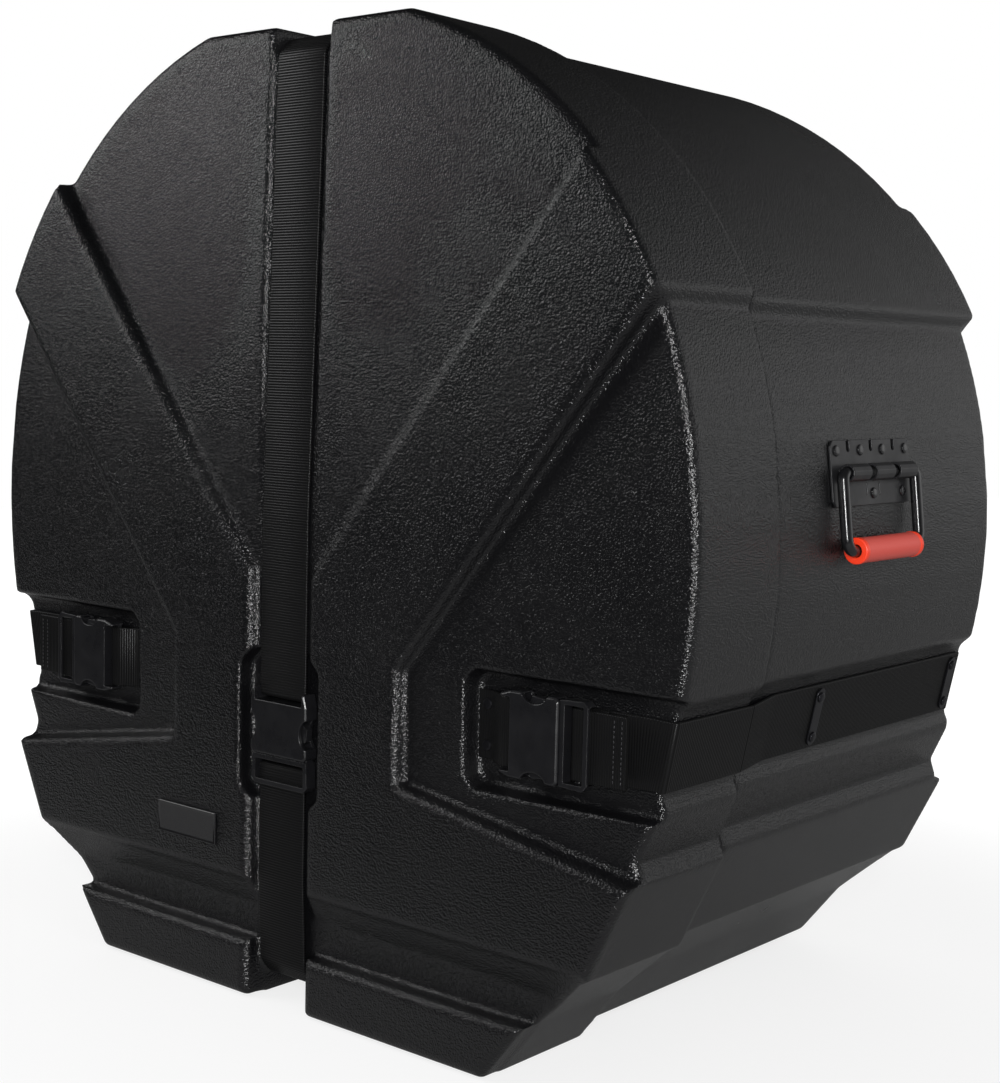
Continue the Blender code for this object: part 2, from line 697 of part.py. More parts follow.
def female(name, frame):
    """The buckle half that holds the sewn strap: two plates from one end block."""
    half = BUCKLE_HALF
    taper = 0.003
    plan = [(0, -half + taper), (0, half - taper), (BODY_START, half),
            (FEMALE_LENGTH - taper, half), (FEMALE_LENGTH, half - taper),
            (FEMALE_LENGTH, -half + taper), (FEMALE_LENGTH - taper, -half),
            (BODY_START, -half)]
    soft = 0.0015
    rings = [[frame @ Vector((u, v, w)) for u, v in loop] for loop, w in (
        (offset(plan, soft), BUCKLE_LOW), (plan, BUCKLE_LOW + soft),
        (plan, BUCKLE_HIGH - soft), (offset(plan, soft), BUCKLE_HIGH))]
    body = add_object(name, skin(rings), BLACK_ACETAL, origin=frame.translation)
    inner = WEB_HALF + 0.0012
    cuts = [(box_loop(STRAP_BAR, BODY_START, -inner, inner), -0.01, 0.03),
            (box_loop(-0.01, STRAP_BAR + 0.001, -inner, inner), BAR_HIGH, 0.03),
            (box_loop(-0.01, STRAP_BAR + 0.001, -inner, inner), -0.01, BAR_LOW),
            (box_loop(BODY_START + FEMALE_BLOCK, FEMALE_LENGTH + 0.01,
                      -half + SIDE_WALL, half - SIDE_WALL), SLOT_LOW, SLOT_HIGH)]
    centre = FEMALE_LENGTH - NOTCH_AT
    for sign in (1, -1):
        cuts.append((disc_loop(centre, sign * (half + 0.001), NOTCH_RADIUS), -0.01, 0.03))
    for loop, low, high in cuts:
        tool = add_object("cut", frame_prism(loop, frame, low, high))
        combine(body, tool, "DIFFERENCE")
    return body


def male(name, frame):
    """The buckle half on the adjustable strap: ladder frame, cheeks and guide post."""
    half = BUCKLE_HALF
    end = MALE_START + MALE_LENGTH
    low, high = BAR_LOW, BAR_B_HIGH
    plan = [(MALE_START, -half + 0.001), (MALE_START, half - 0.001), (end - 0.004, half),
            (end, half - 0.004), (end, -half + 0.004), (end - 0.004, -half)]
    body = add_object(name, frame_prism(plan, frame, low, high), BLACK_ACETAL,
                      origin=frame.translation)
    inner = half - RAIL
    for loop, w0, w1 in (
            (box_loop(FIRST_SLOT, LADDER_A, -inner, inner), -0.01, 0.03),
            (box_loop(LADDER_A + LADDER_BAR, LADDER_B, -inner, inner), -0.01, 0.03),
            (box_loop(LADDER_A - 0.001, LADDER_A + LADDER_BAR + 0.001, -inner, inner),
             BAR_HIGH, 0.03),
            (box_loop(LADDER_B - 0.001, end + 0.01, -inner, inner), -0.01, BAR_B_LOW)):
        combine(body, add_object("cut", frame_prism(loop, frame, w0, w1)), "DIFFERENCE")
    grip = SLOT_LOW + GAP
    top = SLOT_HIGH - GAP
    parts = [box_loop(MALE_START - PRONG_LENGTH, MALE_START + 0.002, -0.004, 0.004)]
    for sign in (1, -1):
        outer, inner = sign * (half - SIDE_WALL - 2 * GAP), sign * (half - 0.0075)
        parts.append([(FEMALE_LENGTH - 0.010, inner), (MALE_START + 0.002, inner),
                      (MALE_START + 0.002, outer), (FEMALE_LENGTH - 0.010, outer)])
    for loop in parts:
        combine(body, add_object("arm", frame_prism(loop, frame, grip, top)), "UNION")
    return body


def prong(name, frame, sign):
    """A sprung arm of the male half, with the button that shows in the side notch."""
    root = MALE_START - 2 * GAP
    tip = MALE_START - PRONG_LENGTH
    centre = FEMALE_LENGTH - NOTCH_AT
    reach = BUCKLE_HALF - SIDE_WALL - 2 * GAP
    plan = [(root, PRONG_ROOT - 0.0025), (root, PRONG_ROOT + 0.0035),
            (centre + 0.009, PRONG_ROOT + 0.0045), (centre + 0.0055, reach - 0.001),
            (centre - 0.004, reach), (tip, reach - 0.007),
            (tip, PRONG_ROOT + 0.001), (centre + 0.006, PRONG_ROOT)]
    loop = [(u, sign * v) for u, v in plan]
    pivot = frame @ Vector((root, sign * PRONG_ROOT, (SLOT_LOW + SLOT_HIGH) / 2))
    body = add_object(name, frame_prism(loop, frame, SLOT_LOW + 2 * GAP, SLOT_HIGH - 2 * GAP),
                      BLACK_ACETAL, origin=pivot)
    return body


def threaded_path(run, tucked):
    """A strap that comes up its run, goes over the ladder bar and is tucked back."""
    turn = 0.0008
    slot = LADDER_A - GAP - WEB / 2 - turn / 2
    return run + [(LADDER_A - turn, STRAP_LEVEL), (slot, STRAP_LEVEL - turn * 1.5),
                  (slot, TUCKED_LEVEL + turn * 1.5), (LADDER_A - turn, TUCKED_LEVEL),
                  (tucked, TUCKED_LEVEL)]


def hook_path(lead):
    """A strap's end over a female half's bar and down into its slot, after its lead."""
    turn = 0.0008
    slot = STRAP_BAR + GAP + WEB / 2 + turn / 2
    return lead + [(STRAP_BAR + turn, STRAP_LEVEL), (slot, STRAP_LEVEL - turn * 1.5),
                   (slot, BAR_LOW)]


def rivet(frame, u, v, head, tail):
    """A domed rivet: its head's underside at height head, its shank down to tail."""
    shank = RIVET_RADIUS * 0.45
    profile = [(shank, tail), (shank, head), (RIVET_RADIUS, head),
               (RIVET_RADIUS * 0.92, head + RIVET_HEAD * 0.5),
               (RIVET_RADIUS * 0.55, head + RIVET_HEAD)]
    return skin([[frame @ Vector((x, y, w)) for x, y in disc_loop(u, v, radius, 10)]
                 for radius, w in profile])


def pierce(item, frame, spots, both=False):
    """Drills clearance holes for rivets straight through an object."""
    for u, v in spots:
        hole = disc_loop(u, v, RIVET_RADIUS * 0.45 + GAP, 10)
        tool = frame_prism(hole, frame, -0.012, 0.012)
        if both:
            on_both_sides(item, tool, "DIFFERENCE")
        else:
            combine(item, add_object("hole", tool), "DIFFERENCE")


def rivet_set(name, frame, spots, head, backing, finish):
    """Rivets closed over one backing strip behind the shell's wall."""
    top = -WALL - GAP
    body = add_object(name, frame_prism(backing, frame, top - BACKING, top), finish)
    for u, v in spots:
        pin = add_object("pin", rivet(frame, u, v, head, top - BACKING / 2))
        combine(body, pin, "UNION")
    body.data.shade_smooth()
    body.data.set_sharp_from_angle(angle=math.radians(40))
    return body


def relieve(foam, frame, backing):
    """Presses a clearance for a backing strip into the foam, on both sides."""
    grown = offset(backing, -0.001)
    on_both_sides(foam, frame_prism(grown, frame, -WALL - 0.004, 0.0), "DIFFERENCE")


def strap_end_loop(half, radius, steps=6):
    """A bar in plan with round ends."""
    loop = []
    for end in (1, -1):
        for i in range(steps + 1):
            turn = math.pi * i / steps - math.pi / 2
            loop.append((end * (half - radius + radius * math.cos(turn)),
                         end * radius * math.sin(turn)))
    return loop


KEEPER_SPOTS = [(KEEPER_PITCH / 2, 0), (-KEEPER_PITCH / 2, 0)]


def keeper(name, place, along, out):
    """A steel plate that holds a strap down, with its rivet set. Returns the frame."""
    frame = buckle_frame(place, along, out)
    low = WEB + 2 * GAP
    loop = strap_end_loop(KEEPER_LENGTH / 2, KEEPER_WIDTH / 2)
    body = add_object(name, frame_prism(loop, frame, low, low + KEEPER_THICK), GREY_STEEL)
    pierce(body, frame, KEEPER_SPOTS)
    rivet_set(name.replace("keeper", "keeper_rivets"), frame, KEEPER_SPOTS,
              low + KEEPER_THICK + GAP, loop, GREY_STEEL)
    return frame


def bulge_frame(section, height):
    """Point and tilt of a section's right flank at a height: x and its outward normal."""
    for (x0, z0), (x1, z1) in zip(section, section[1:]):
        if x0 > 0 and x1 > 0 and z1 <= height <= z0 and z0 > z1:
            share = (z0 - height) / (z0 - z1)
            step = Vector((x1 - x0, z1 - z0)).normalized()
            return x0 + (x1 - x0) * share, Vector((-step.y, step.x))
    return PANEL_HALF, Vector((1, 0))


def tube(points, radius, steps=10, cyclic=False):
    """A round bar through points, with flat ends."""
    rings = []
    side = None
    for i, point in enumerate(points):
        before = Vector(points[max(i - 1, 0)])
        after = Vector(points[min(i + 1, len(points) - 1)])
        along = (after - before).normalized()
        if side is None:
            side = along.orthogonal().normalized()
        side = (side - along * side.dot(along)).normalized()
        up = along.cross(side)
        rings.append([Vector(point) + radius * (side * math.cos(2 * math.pi * k / steps)
                                                + up * math.sin(2 * math.pi * k / steps))
                      for k in range(steps)])
    return skin(rings, cyclic)


def handle_frame():
    """Axes of the right handle: u down the flank, v across it, w out of it."""
    x, normal = bulge_frame(BODY_SECTION, HANDLE_HEIGHT)
    out = Vector((normal.x, 0, normal.y))
    seat = Vector((x, HANDLE_Y, HANDLE_HEIGHT)) + out * GAP
    return buckle_frame(seat, (normal.y, 0, -normal.x), out)


AXIS_UP = PLATE_THICK + BARREL_RADIUS - GAP
PLATE_HALF = PLATE_WIDTH / 2
HANDLE_SPOTS = ([(-PLATE_UP + 0.0075, PLATE_HALF * k) for k in (-0.87, -0.28, 0.28, 0.87)]
                + [(PLATE_DOWN - 0.0085, PLATE_HALF * k) for k in (-0.75, 0, 0.75)])


def handle():
    """A sprung handle on the base's flank. Returns the outline of its backing plate."""
    frame = handle_frame()
    half, c = PLATE_HALF, 0.004
    plan = [(-PLATE_UP, -half + c), (-PLATE_UP + c, -half), (PLATE_DOWN - c, -half),
            (PLATE_DOWN, -half + c), (PLATE_DOWN, half - c), (PLATE_DOWN - c, half),
            (-PLATE_UP + c, half), (-PLATE_UP, half - c)]
    plate = add_object("handle_plate_right", frame_prism(plan, frame, 0, PLATE_THICK),
                       BLACK_STEEL)
    for length, radius, operation in ((BARREL_LENGTH / 2, BARREL_RADIUS, "UNION"),
                                      (BARREL_LENGTH, BAIL_ROD + RUNNING, "DIFFERENCE")):
        line = [frame @ Vector((0, end * length, AXIS_UP)) for end in (-1, 1)]
        combine(plate, add_object("barrel", tube(line, radius, 12)), operation)
    pierce(plate, frame, HANDLE_SPOTS)
    for share in (-0.57, 0, 0.57):
        slot = strap_end_loop(SLOT_REACH, SLOT_HALF)
        notch = [(-PLATE_UP + u, share * half + v) for u, v in slot]
        combine(plate, add_object("notch", frame_prism(notch, frame, -0.01, 0.01)), "DIFFERENCE")
    for end in (-1, 1):
        gap = box_loop(-BARREL_RADIUS - 0.002, BARREL_RADIUS + 0.002,
                       end * 0.018 - 0.004, end * 0.018 + 0.004)
        tool = add_object("gap", frame_prism(gap, frame, PLATE_THICK + GAP, 0.03))
        combine(plate, tool, "DIFFERENCE")
    plate.data.shade_smooth()
    plate.data.set_sharp_from_angle(angle=math.radians(35))
    backing = box_loop(-PLATE_UP + 0.003, PLATE_DOWN - 0.003, -half + 0.006, half - 0.006)
    rivet_set("handle_rivets_right", frame, HANDLE_SPOTS, PLATE_THICK + GAP, backing,
              BLACK_STEEL)
    axis = frame @ Vector((0, 0, AXIS_UP))
    rod = tube([frame @ Vector((u, v, AXIS_UP)) for u, v in bail_path()], BAIL_ROD, 8)
    add_object("handle_bail_right", rod, BLACK_STEEL, origin=axis, smooth=50)
    add_object("handle_grip_right", grip_mesh(frame, AXIS_UP), RED_RUBBER, origin=axis,
               smooth=40)
    return backing


def bail_path():
    """The bail's middle line in plan (u, v): barrel, arm, grip bar, arm, barrel."""
    half = [(0.0, BARREL_LENGTH / 2 - BAIL_END), (0.0, BAIL_HALF - BAIL_TURN)]
    for i in range(1, 4):
        turn = math.pi / 2 * i / 4
        half.append((BAIL_TURN * (1 - math.cos(turn)),
                     BAIL_HALF - BAIL_TURN + BAIL_TURN * math.sin(turn)))
    half += [(BAIL_TURN, BAIL_HALF), (BAIL_DROP - BAIL_BEND, BAIL_HALF)]
    for i in range(1, 4):
        turn = math.pi / 2 * i / 4
        half.append((BAIL_DROP - BAIL_BEND + BAIL_BEND * math.sin(turn),
                     BAIL_HALF - BAIL_BEND * (1 - math.cos(turn))))
    half.append((BAIL_DROP, BAIL_HALF - BAIL_BEND))
    return half + [(u, -v) for u, v in reversed(half)]


def grip_mesh(frame, height):
    """A rubber sleeve with rounded ends on the bail's lower bar."""
    length = min(GRIP_LENGTH, 2 * (BAIL_HALF - BAIL_BEND) - 0.002)
    bore = BAIL_ROD + GAP
    profile = [(bore, -length / 2), (GRIP_RADIUS - 0.002, -length / 2),
               (GRIP_RADIUS, -length / 2 + 0.002), (GRIP_RADIUS, length / 2 - 0.002),
               (GRIP_RADIUS - 0.002, length / 2), (bore, length / 2)]
    rings = []
    for radius, v in profile:
        rings.append([frame @ Vector((BAIL_DROP + radius * math.cos(2 * math.pi * i / 16), v,
                                      height + radius * math.sin(2 * math.pi * i / 16)))
                      for i in range(16)])
    return skin(rings, cyclic=True)


def centre_strap(base):
    """The strap round the case: over the top, down the front, and round the base."""
    rim_y = DOME_LOW + DOME_RISE
    high = rim_y + CHANNEL_DEPTH * 0.4
    turn = 0.012
    lift = GAP + WEB / 2
    frame = buckle_frame((0, POCKET_DEPTH, CENTRE_BUCKLE_TOP), (0, 0, -1), (0, -1, 0))
    to_frame = frame.inverted()

    def local(y, z):
        """A side-view point in the buckle's own (u, w)."""
        point = to_frame @ Vector((0, y, z))
        return (point.x, point.z)

    top = LID_CHANNEL_TOP + lift
    upper = [local(SEAM - GAP, top), local(high + turn - 0.001, top),
             local(high - lift * 0.8, LID_CHANNEL_TOP - turn + lift * 0.5),
             local(CHANNEL_DEPTH - lift, DOME_HEIGHT)]
    add_object("centre_strap_upper", path_strip(hook_path(upper), frame), BLACK_WEB)
    front = CHANNEL_DEPTH - lift
    low = CHANNEL_BOTTOM - lift
    lower = [local(SEAM - GAP, low), local(CHANNEL_DEPTH + turn - 0.001, low),
             local(front + 0.0028, CHANNEL_BOTTOM + turn - 0.001),
             local(front, TOE_HEIGHT + 0.01)]
    threaded = threaded_path(lower, LADDER_B + LADDER_BAR)
    add_object("centre_strap_lower", path_strip(threaded, frame), BLACK_WEB)
    back = DEPTH - high
    base_top = BASE_CHANNEL_TOP + lift
    base_low = BASE_CHANNEL_BOTTOM - lift
    ramp = 0.035
    rear = [local(SEAM + GAP, top), local(SEAM + ramp, base_top),
            local(back - turn + 0.001, base_top),
            local(back + lift * 0.8, BASE_CHANNEL_TOP - turn + lift * 0.5),
            local(DEPTH - CHANNEL_DEPTH + lift, DOME_HEIGHT),
            local(DEPTH - CHANNEL_DEPTH + lift, TOE_HEIGHT + 0.01),
            local(DEPTH - CHANNEL_DEPTH - 0.003 + lift, BASE_CHANNEL_BOTTOM + turn - 0.001),
            local(DEPTH - CHANNEL_DEPTH - turn + 0.001, base_low),
            local(SEAM + ramp, base_low), local(SEAM + GAP, low)]
    strap = add_object("centre_strap_base", path_strip(rear, frame), BLACK_WEB)
    place = Vector((0, DEPTH - CHANNEL_DEPTH, DOME_HEIGHT))
    seat = keeper("centre_keeper", place, (1, 0, 0), (0, 1, 0))
    pierce(strap, seat, KEEPER_SPOTS)
    pierce(base, seat, KEEPER_SPOTS)
    female("centre_buckle_female", frame)
    male("centre_buckle_male", frame)
    for sign, tag in ((1, "right"), (-1, "left")):
        prong("centre_buckle_prong_" + tag, frame, sign)


def side_buckle(lid):
    """The right side strap's riveted stub and its buckle, in the recess."""
    height = (BAND_TOP[1] + BAND_LOW[1]) / 2
    floor = -WEB - 2 * GAP
    frame = buckle_frame((SIDE_BUCKLE_X, RECESS_DEPTH + floor, height), (1, 0, 0), (0, -1, 0))
    flat = floor + GAP + WEB / 2
    lead = [(-STUB, flat), (-STUB + 0.0135, flat), (-0.0015, STRAP_LEVEL)]
    stub = add_object("strap_stub_right", path_strip(hook_path(lead), frame), BLACK_WEB)
    spots = [(-STUB + 0.008, v) for v in (-0.015, 0.015)]
    pierce(stub, frame, spots)
    pierce(lid, frame, spots, both=True)
    backing = box_loop(-STUB + 0.002, -STUB + 0.014, -0.022, 0.022)
    seat = frame @ Matrix.Translation((0, 0, floor))
    rivet_set("stub_rivets_right", seat, spots, WEB + 2 * GAP, backing, GREY_STEEL)
    female("buckle_female_right", frame)
    male("buckle_male_right", frame)
    prong("buckle_prong_upper_right", frame, 1)
    prong("buckle_prong_lower_right", frame, -1)
    end = LADDER_B + LADDER_BAR
    tail = threaded_path([(end + TAIL, STRAP_LEVEL)], end + TAIL / 3)
    add_object("strap_tail_right", path_strip(tail, frame), BLACK_WEB)
    return height


def side_straps(base, foam, height):
    """The strap from under the buckle's ladder round the corner, and its base half."""
    middle, along, normal = band_frame(LID_SECTION)
    across = Vector((along.x, 0, along.y))
    out = Vector((normal.x, 0, normal.y))
    front = Vector((0, -1, 0))
    x = middle.x + GAP
    y = RECESS_DEPTH - GAP
    start = SIDE_BUCKLE_X + MALE_START + 0.002
    up = Vector((0, 0, 1))
    side_face = Vector((middle.x, 0, middle.y)) + out * GAP
    stations = [(Vector((start, y, height)), up, front),
                (Vector((x - 0.030, y, height)), up, front),
                (Vector((x - 0.004, y, height)), across, front),
                (Vector((x + GAP, y - GAP, height)), across, (front + out).normalized()),
                (side_face + Vector((0, RECESS_DEPTH + 0.004, 0)), across, out),
                (side_face + Vector((0, SEAM - GAP, 0)), across, out)]
    add_object("side_strap_front_right", strip(stations), BLACK_WEB)
    base_middle, base_along, base_normal = band_frame(BODY_SECTION)
    base_across = Vector((base_along.x, 0, base_along.y))
    base_out = Vector((base_normal.x, 0, base_normal.y))
    face = Vector((base_middle.x, 0, base_middle.y))
    base_face = face + base_out * GAP
    run = [(side_face + Vector((0, SEAM + GAP, 0)), across, out),
           (base_face + Vector((0, SEAM + 0.032, 0)), base_across, base_out),
           (base_face + Vector((0, SIDE_STRAP_END, 0)), base_across, base_out)]
    strap = add_object("side_strap_base_right", strip(run), BLACK_WEB)
    for y, label in ((SIDE_KEEPER, "mid"), (SIDE_STRAP_END - 0.012, "rear")):
        seat = keeper("keeper_%s_right" % label, face + Vector((0, y, 0)), base_across, base_out)
        pierce(strap, seat, KEEPER_SPOTS)
        pierce(base, seat, KEEPER_SPOTS, both=True)
        relieve(foam, seat, strap_end_loop(KEEPER_LENGTH / 2, KEEPER_WIDTH / 2))


def name_plate():
    """The bare plate on the lower left panel, with its four pins in one piece."""
    frame = buckle_frame((NAME_X, -GAP, NAME_Z), (1, 0, 0), (0, -1, 0))
    half, tall, soft = NAME_WIDTH / 2, NAME_HEIGHT / 2, 0.0006
    loop = box_loop(-half, half, -tall, tall)
    rings = [[frame @ Vector((u, v, w)) for u, v in ring] for ring, w in (
        (loop, 0), (loop, NAME_THICK - soft), (offset(loop, soft), NAME_THICK))]
    add_object("name_plate", skin(rings), BLACK_STEEL)


def centre_depth():
    """Moves everything so that the origin is the bottom centre of the case."""
    bpy.context.view_layer.update()
    lows = []
    highs = []
    for item in bpy.data.objects:
        ys = [(item.matrix_world @ vert.co).y for vert in item.data.vertices]
        lows.append(min(ys))
        highs.append(max(ys))
    shift = (min(lows) + max(highs)) / 2
    for item in bpy.data.objects:
        item.location.y -= shift
    print("depth shift", round(shift, 5), "depth", round(max(highs) - min(lows), 5))


def complete_left_side():
    """Copies every right-hand piece to the left."""
    for item in list(bpy.data.objects):
        if item.name.endswith("_right") and "prong_right" not in item.name:
            mirror_copy(item, item.name.replace("_right", "_left"))


def main():
    """Builds every piece of the case."""
    clear_scene()
    lid = lid_shell()
    base = base_shell()
    foam = foam_ring()
    pad_back = DEPTH - DOME_LOW - DOME_RISE - CHANNEL_DEPTH * 0.4 - WALL - GAP
    foam_pad("rear_pad", REAR_PAD_INSET, pad_back - PAD, pad_back)
    lid_pad_front = RECESS_DEPTH + WALL + BACKING + 3 * GAP
    foam_pad("lid_pad", PAD_INSET, lid_pad_front, lid_pad_front + LID_PAD)
    centre_strap(base)
    side_straps(base, foam, side_buckle(lid))
    relieve(foam, handle_frame(), handle())
    pierce(base, handle_frame(), HANDLE_SPOTS, both=True)
    complete_left_side()
    name_plate()
    for shell in (lid, base):
        shell.data.shade_smooth()
        shell.data.set_sharp_from_angle(angle=math.radians(28))
    centre_depth()


main()
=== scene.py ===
"""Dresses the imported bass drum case: moulded shells, woven straps, buckles, handles, studio."""

import logging
import math
from collections.abc import Callable
from dataclasses import dataclass, field
from enum import Enum

import bpy
from mathutils import Matrix, Vector

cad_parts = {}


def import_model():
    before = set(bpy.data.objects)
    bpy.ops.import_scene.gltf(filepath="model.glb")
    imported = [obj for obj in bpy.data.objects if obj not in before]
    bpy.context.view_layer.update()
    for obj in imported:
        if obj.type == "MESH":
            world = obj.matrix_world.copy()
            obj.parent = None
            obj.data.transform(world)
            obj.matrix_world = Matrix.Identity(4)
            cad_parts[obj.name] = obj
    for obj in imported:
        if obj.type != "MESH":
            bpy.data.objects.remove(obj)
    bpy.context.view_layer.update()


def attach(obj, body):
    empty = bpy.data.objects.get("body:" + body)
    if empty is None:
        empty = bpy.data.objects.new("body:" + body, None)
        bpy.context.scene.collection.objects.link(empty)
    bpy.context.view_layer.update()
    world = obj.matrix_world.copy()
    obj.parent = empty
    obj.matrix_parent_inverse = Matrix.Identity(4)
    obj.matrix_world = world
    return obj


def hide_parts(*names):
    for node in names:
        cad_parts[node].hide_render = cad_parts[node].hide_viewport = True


log = logging.getLogger("drum_case")
MM = 0.001
RIGHT_AXIS = Vector((1, 0, 0))
TINY = 1e-9
# Cloudy noise for slow changes in gloss, and the span that most of its values lie in.
CLOUD = {"Detail": 5.0, "Roughness": 0.6}
CLOUD_LOW, CLOUD_HIGH = 0.3, 0.7


class Side(Enum):
    """The side of the case that a strap or handle is on."""

    RIGHT = 1
    LEFT = -1

    @property
    def tag(self) -> str:
        """The ending of the side's node names."""
        return self.name.lower()


def linear(hex_colour: str) -> tuple[float, float, float, float]:
    """Turns an sRGB hex colour into linear RGBA.

    Args:
        hex_colour: six hex digits after a hash sign.

    Returns:
        The colour's linear red, green and blue with an alpha of 1.
    """
    channels = [int(hex_colour[i:i + 2], 16) / 255 for i in (1, 3, 5)]
    values = [c / 12.92 if c <= 0.04045 else ((c + 0.055) / 1.055) ** 2.4 for c in channels]
    return (values[0], values[1], values[2], 1.0)


def add_node(tree: bpy.types.NodeTree, kind: str, settings: dict | None = None,
             links: dict | None = None) -> bpy.types.Node:
    """Adds a shader node.

    Args:
        tree: the node tree to add to.
        kind: the node's type name.
        settings: attributes by name, or socket values by socket name or number.
        links: output sockets by the name or number of the input that they feed.

    Returns:
        The new node.
    """
    node = tree.nodes.new(kind)
    for key, value in (settings or {}).items():
        if isinstance(key, str) and hasattr(node, key):
            setattr(node, key, value)
        else:
            node.inputs[key].default_value = value
    for key, socket in (links or {}).items():
        tree.links.new(socket, node.inputs[key])
    return node


@dataclass(frozen=True)
class Finish:
    """A plain finish: its colour and gloss. Its kinds add their own relief."""

    name: str
    colour: str
    roughness: float
    ior: float = 1.5
    metallic: float = 0.0
    coat: float = 0.0
    specular: float = 0.5

    def material(self) -> bpy.types.Material:
        """Makes the material, or finds the one made before.

        Returns:
            The material.
        """
        made = bpy.data.materials.get(self.name)
        if made is None:
            made = bpy.data.materials.new(self.name)
            made.use_nodes = True
            tree = made.node_tree
            tree.nodes.clear()
            shader = add_node(tree, "ShaderNodeBsdfPrincipled", {
                "Base Color": linear(self.colour), "Roughness": self.roughness,
                "IOR": self.ior, "Metallic": self.metallic, "Coat Weight": self.coat,
                "Specular IOR Level": self.specular})
            add_node(tree, "ShaderNodeOutputMaterial", {}, {"Surface": shader.outputs["BSDF"]})
            self.detail(tree, shader)
        return made

    def detail(self, tree: bpy.types.NodeTree, shader: bpy.types.Node) -> None:
        """Adds the finish's own pattern. A plain finish has none."""

    def vary(self, tree: bpy.types.NodeTree, shader: bpy.types.Node,
             size_mm: float, gloss: float, other: str) -> None:
        """Slow, patchy changes in gloss and colour, as handling leaves them.

        Args:
            tree: the material's node tree.
            shader: its Principled node.
            size_mm: how wide the patches are.
            gloss: how far the roughness goes up and down.
            other: the colour that the patches tend to.
        """
        place = add_node(tree, "ShaderNodeTexCoord").outputs["Object"]
        cloud = add_node(tree, "ShaderNodeTexNoise", {
            "Scale": 1 / (size_mm * MM), **CLOUD}, {"Vector": place})
        rough = add_node(tree, "ShaderNodeMapRange", {
            "From Min": CLOUD_LOW, "From Max": CLOUD_HIGH, "To Min": self.roughness - gloss,
            "To Max": self.roughness + gloss}, {"Value": cloud.outputs["Fac"]})
        tree.links.new(rough.outputs["Result"], shader.inputs["Roughness"])
        tint = add_node(tree, "ShaderNodeMix", {
            "data_type": "RGBA", 6: linear(self.colour), 7: linear(other)},
            {0: cloud.outputs["Fac"]})
        tree.links.new(tint.outputs[2], shader.inputs["Base Color"])

    def put_on(self, *items: bpy.types.Object) -> None:
        """Gives objects this finish in place of what they have.

        Args:
            items: mesh objects.
        """
        for item in items:
            item.data.materials.clear()
            item.data.materials.append(self.material())


@dataclass(frozen=True)
class Grained(Finish):
    """A finish with one grain over it, such as powder coat, moulded skin or cast rubber."""

    grain_mm: float = 0.8
    height_mm: float = 0.02
    patch: str = "#1a1a1c"
    patch_mm: float = 22.0
    patch_gloss: float = 0.06

    def detail(self, tree: bpy.types.NodeTree, shader: bpy.types.Node) -> None:
        """One layer of fine noise, over patches of gloss.

        Args:
            tree: the material's node tree.
            shader: its Principled node.
        """
        self.vary(tree, shader, self.patch_mm, self.patch_gloss, self.patch)
        place = add_node(tree, "ShaderNodeTexCoord").outputs["Object"]
        grain = add_node(tree, "ShaderNodeTexNoise", {
            "Scale": 1 / (self.grain_mm * MM), "Detail": 3.0}, {"Vector": place})
        bump = add_node(tree, "ShaderNodeBump", {
            "Strength": 1.0, "Distance": self.height_mm * MM}, {"Height": grain.outputs["Fac"]})
        tree.links.new(bump.outputs["Normal"], shader.inputs["Normal"])


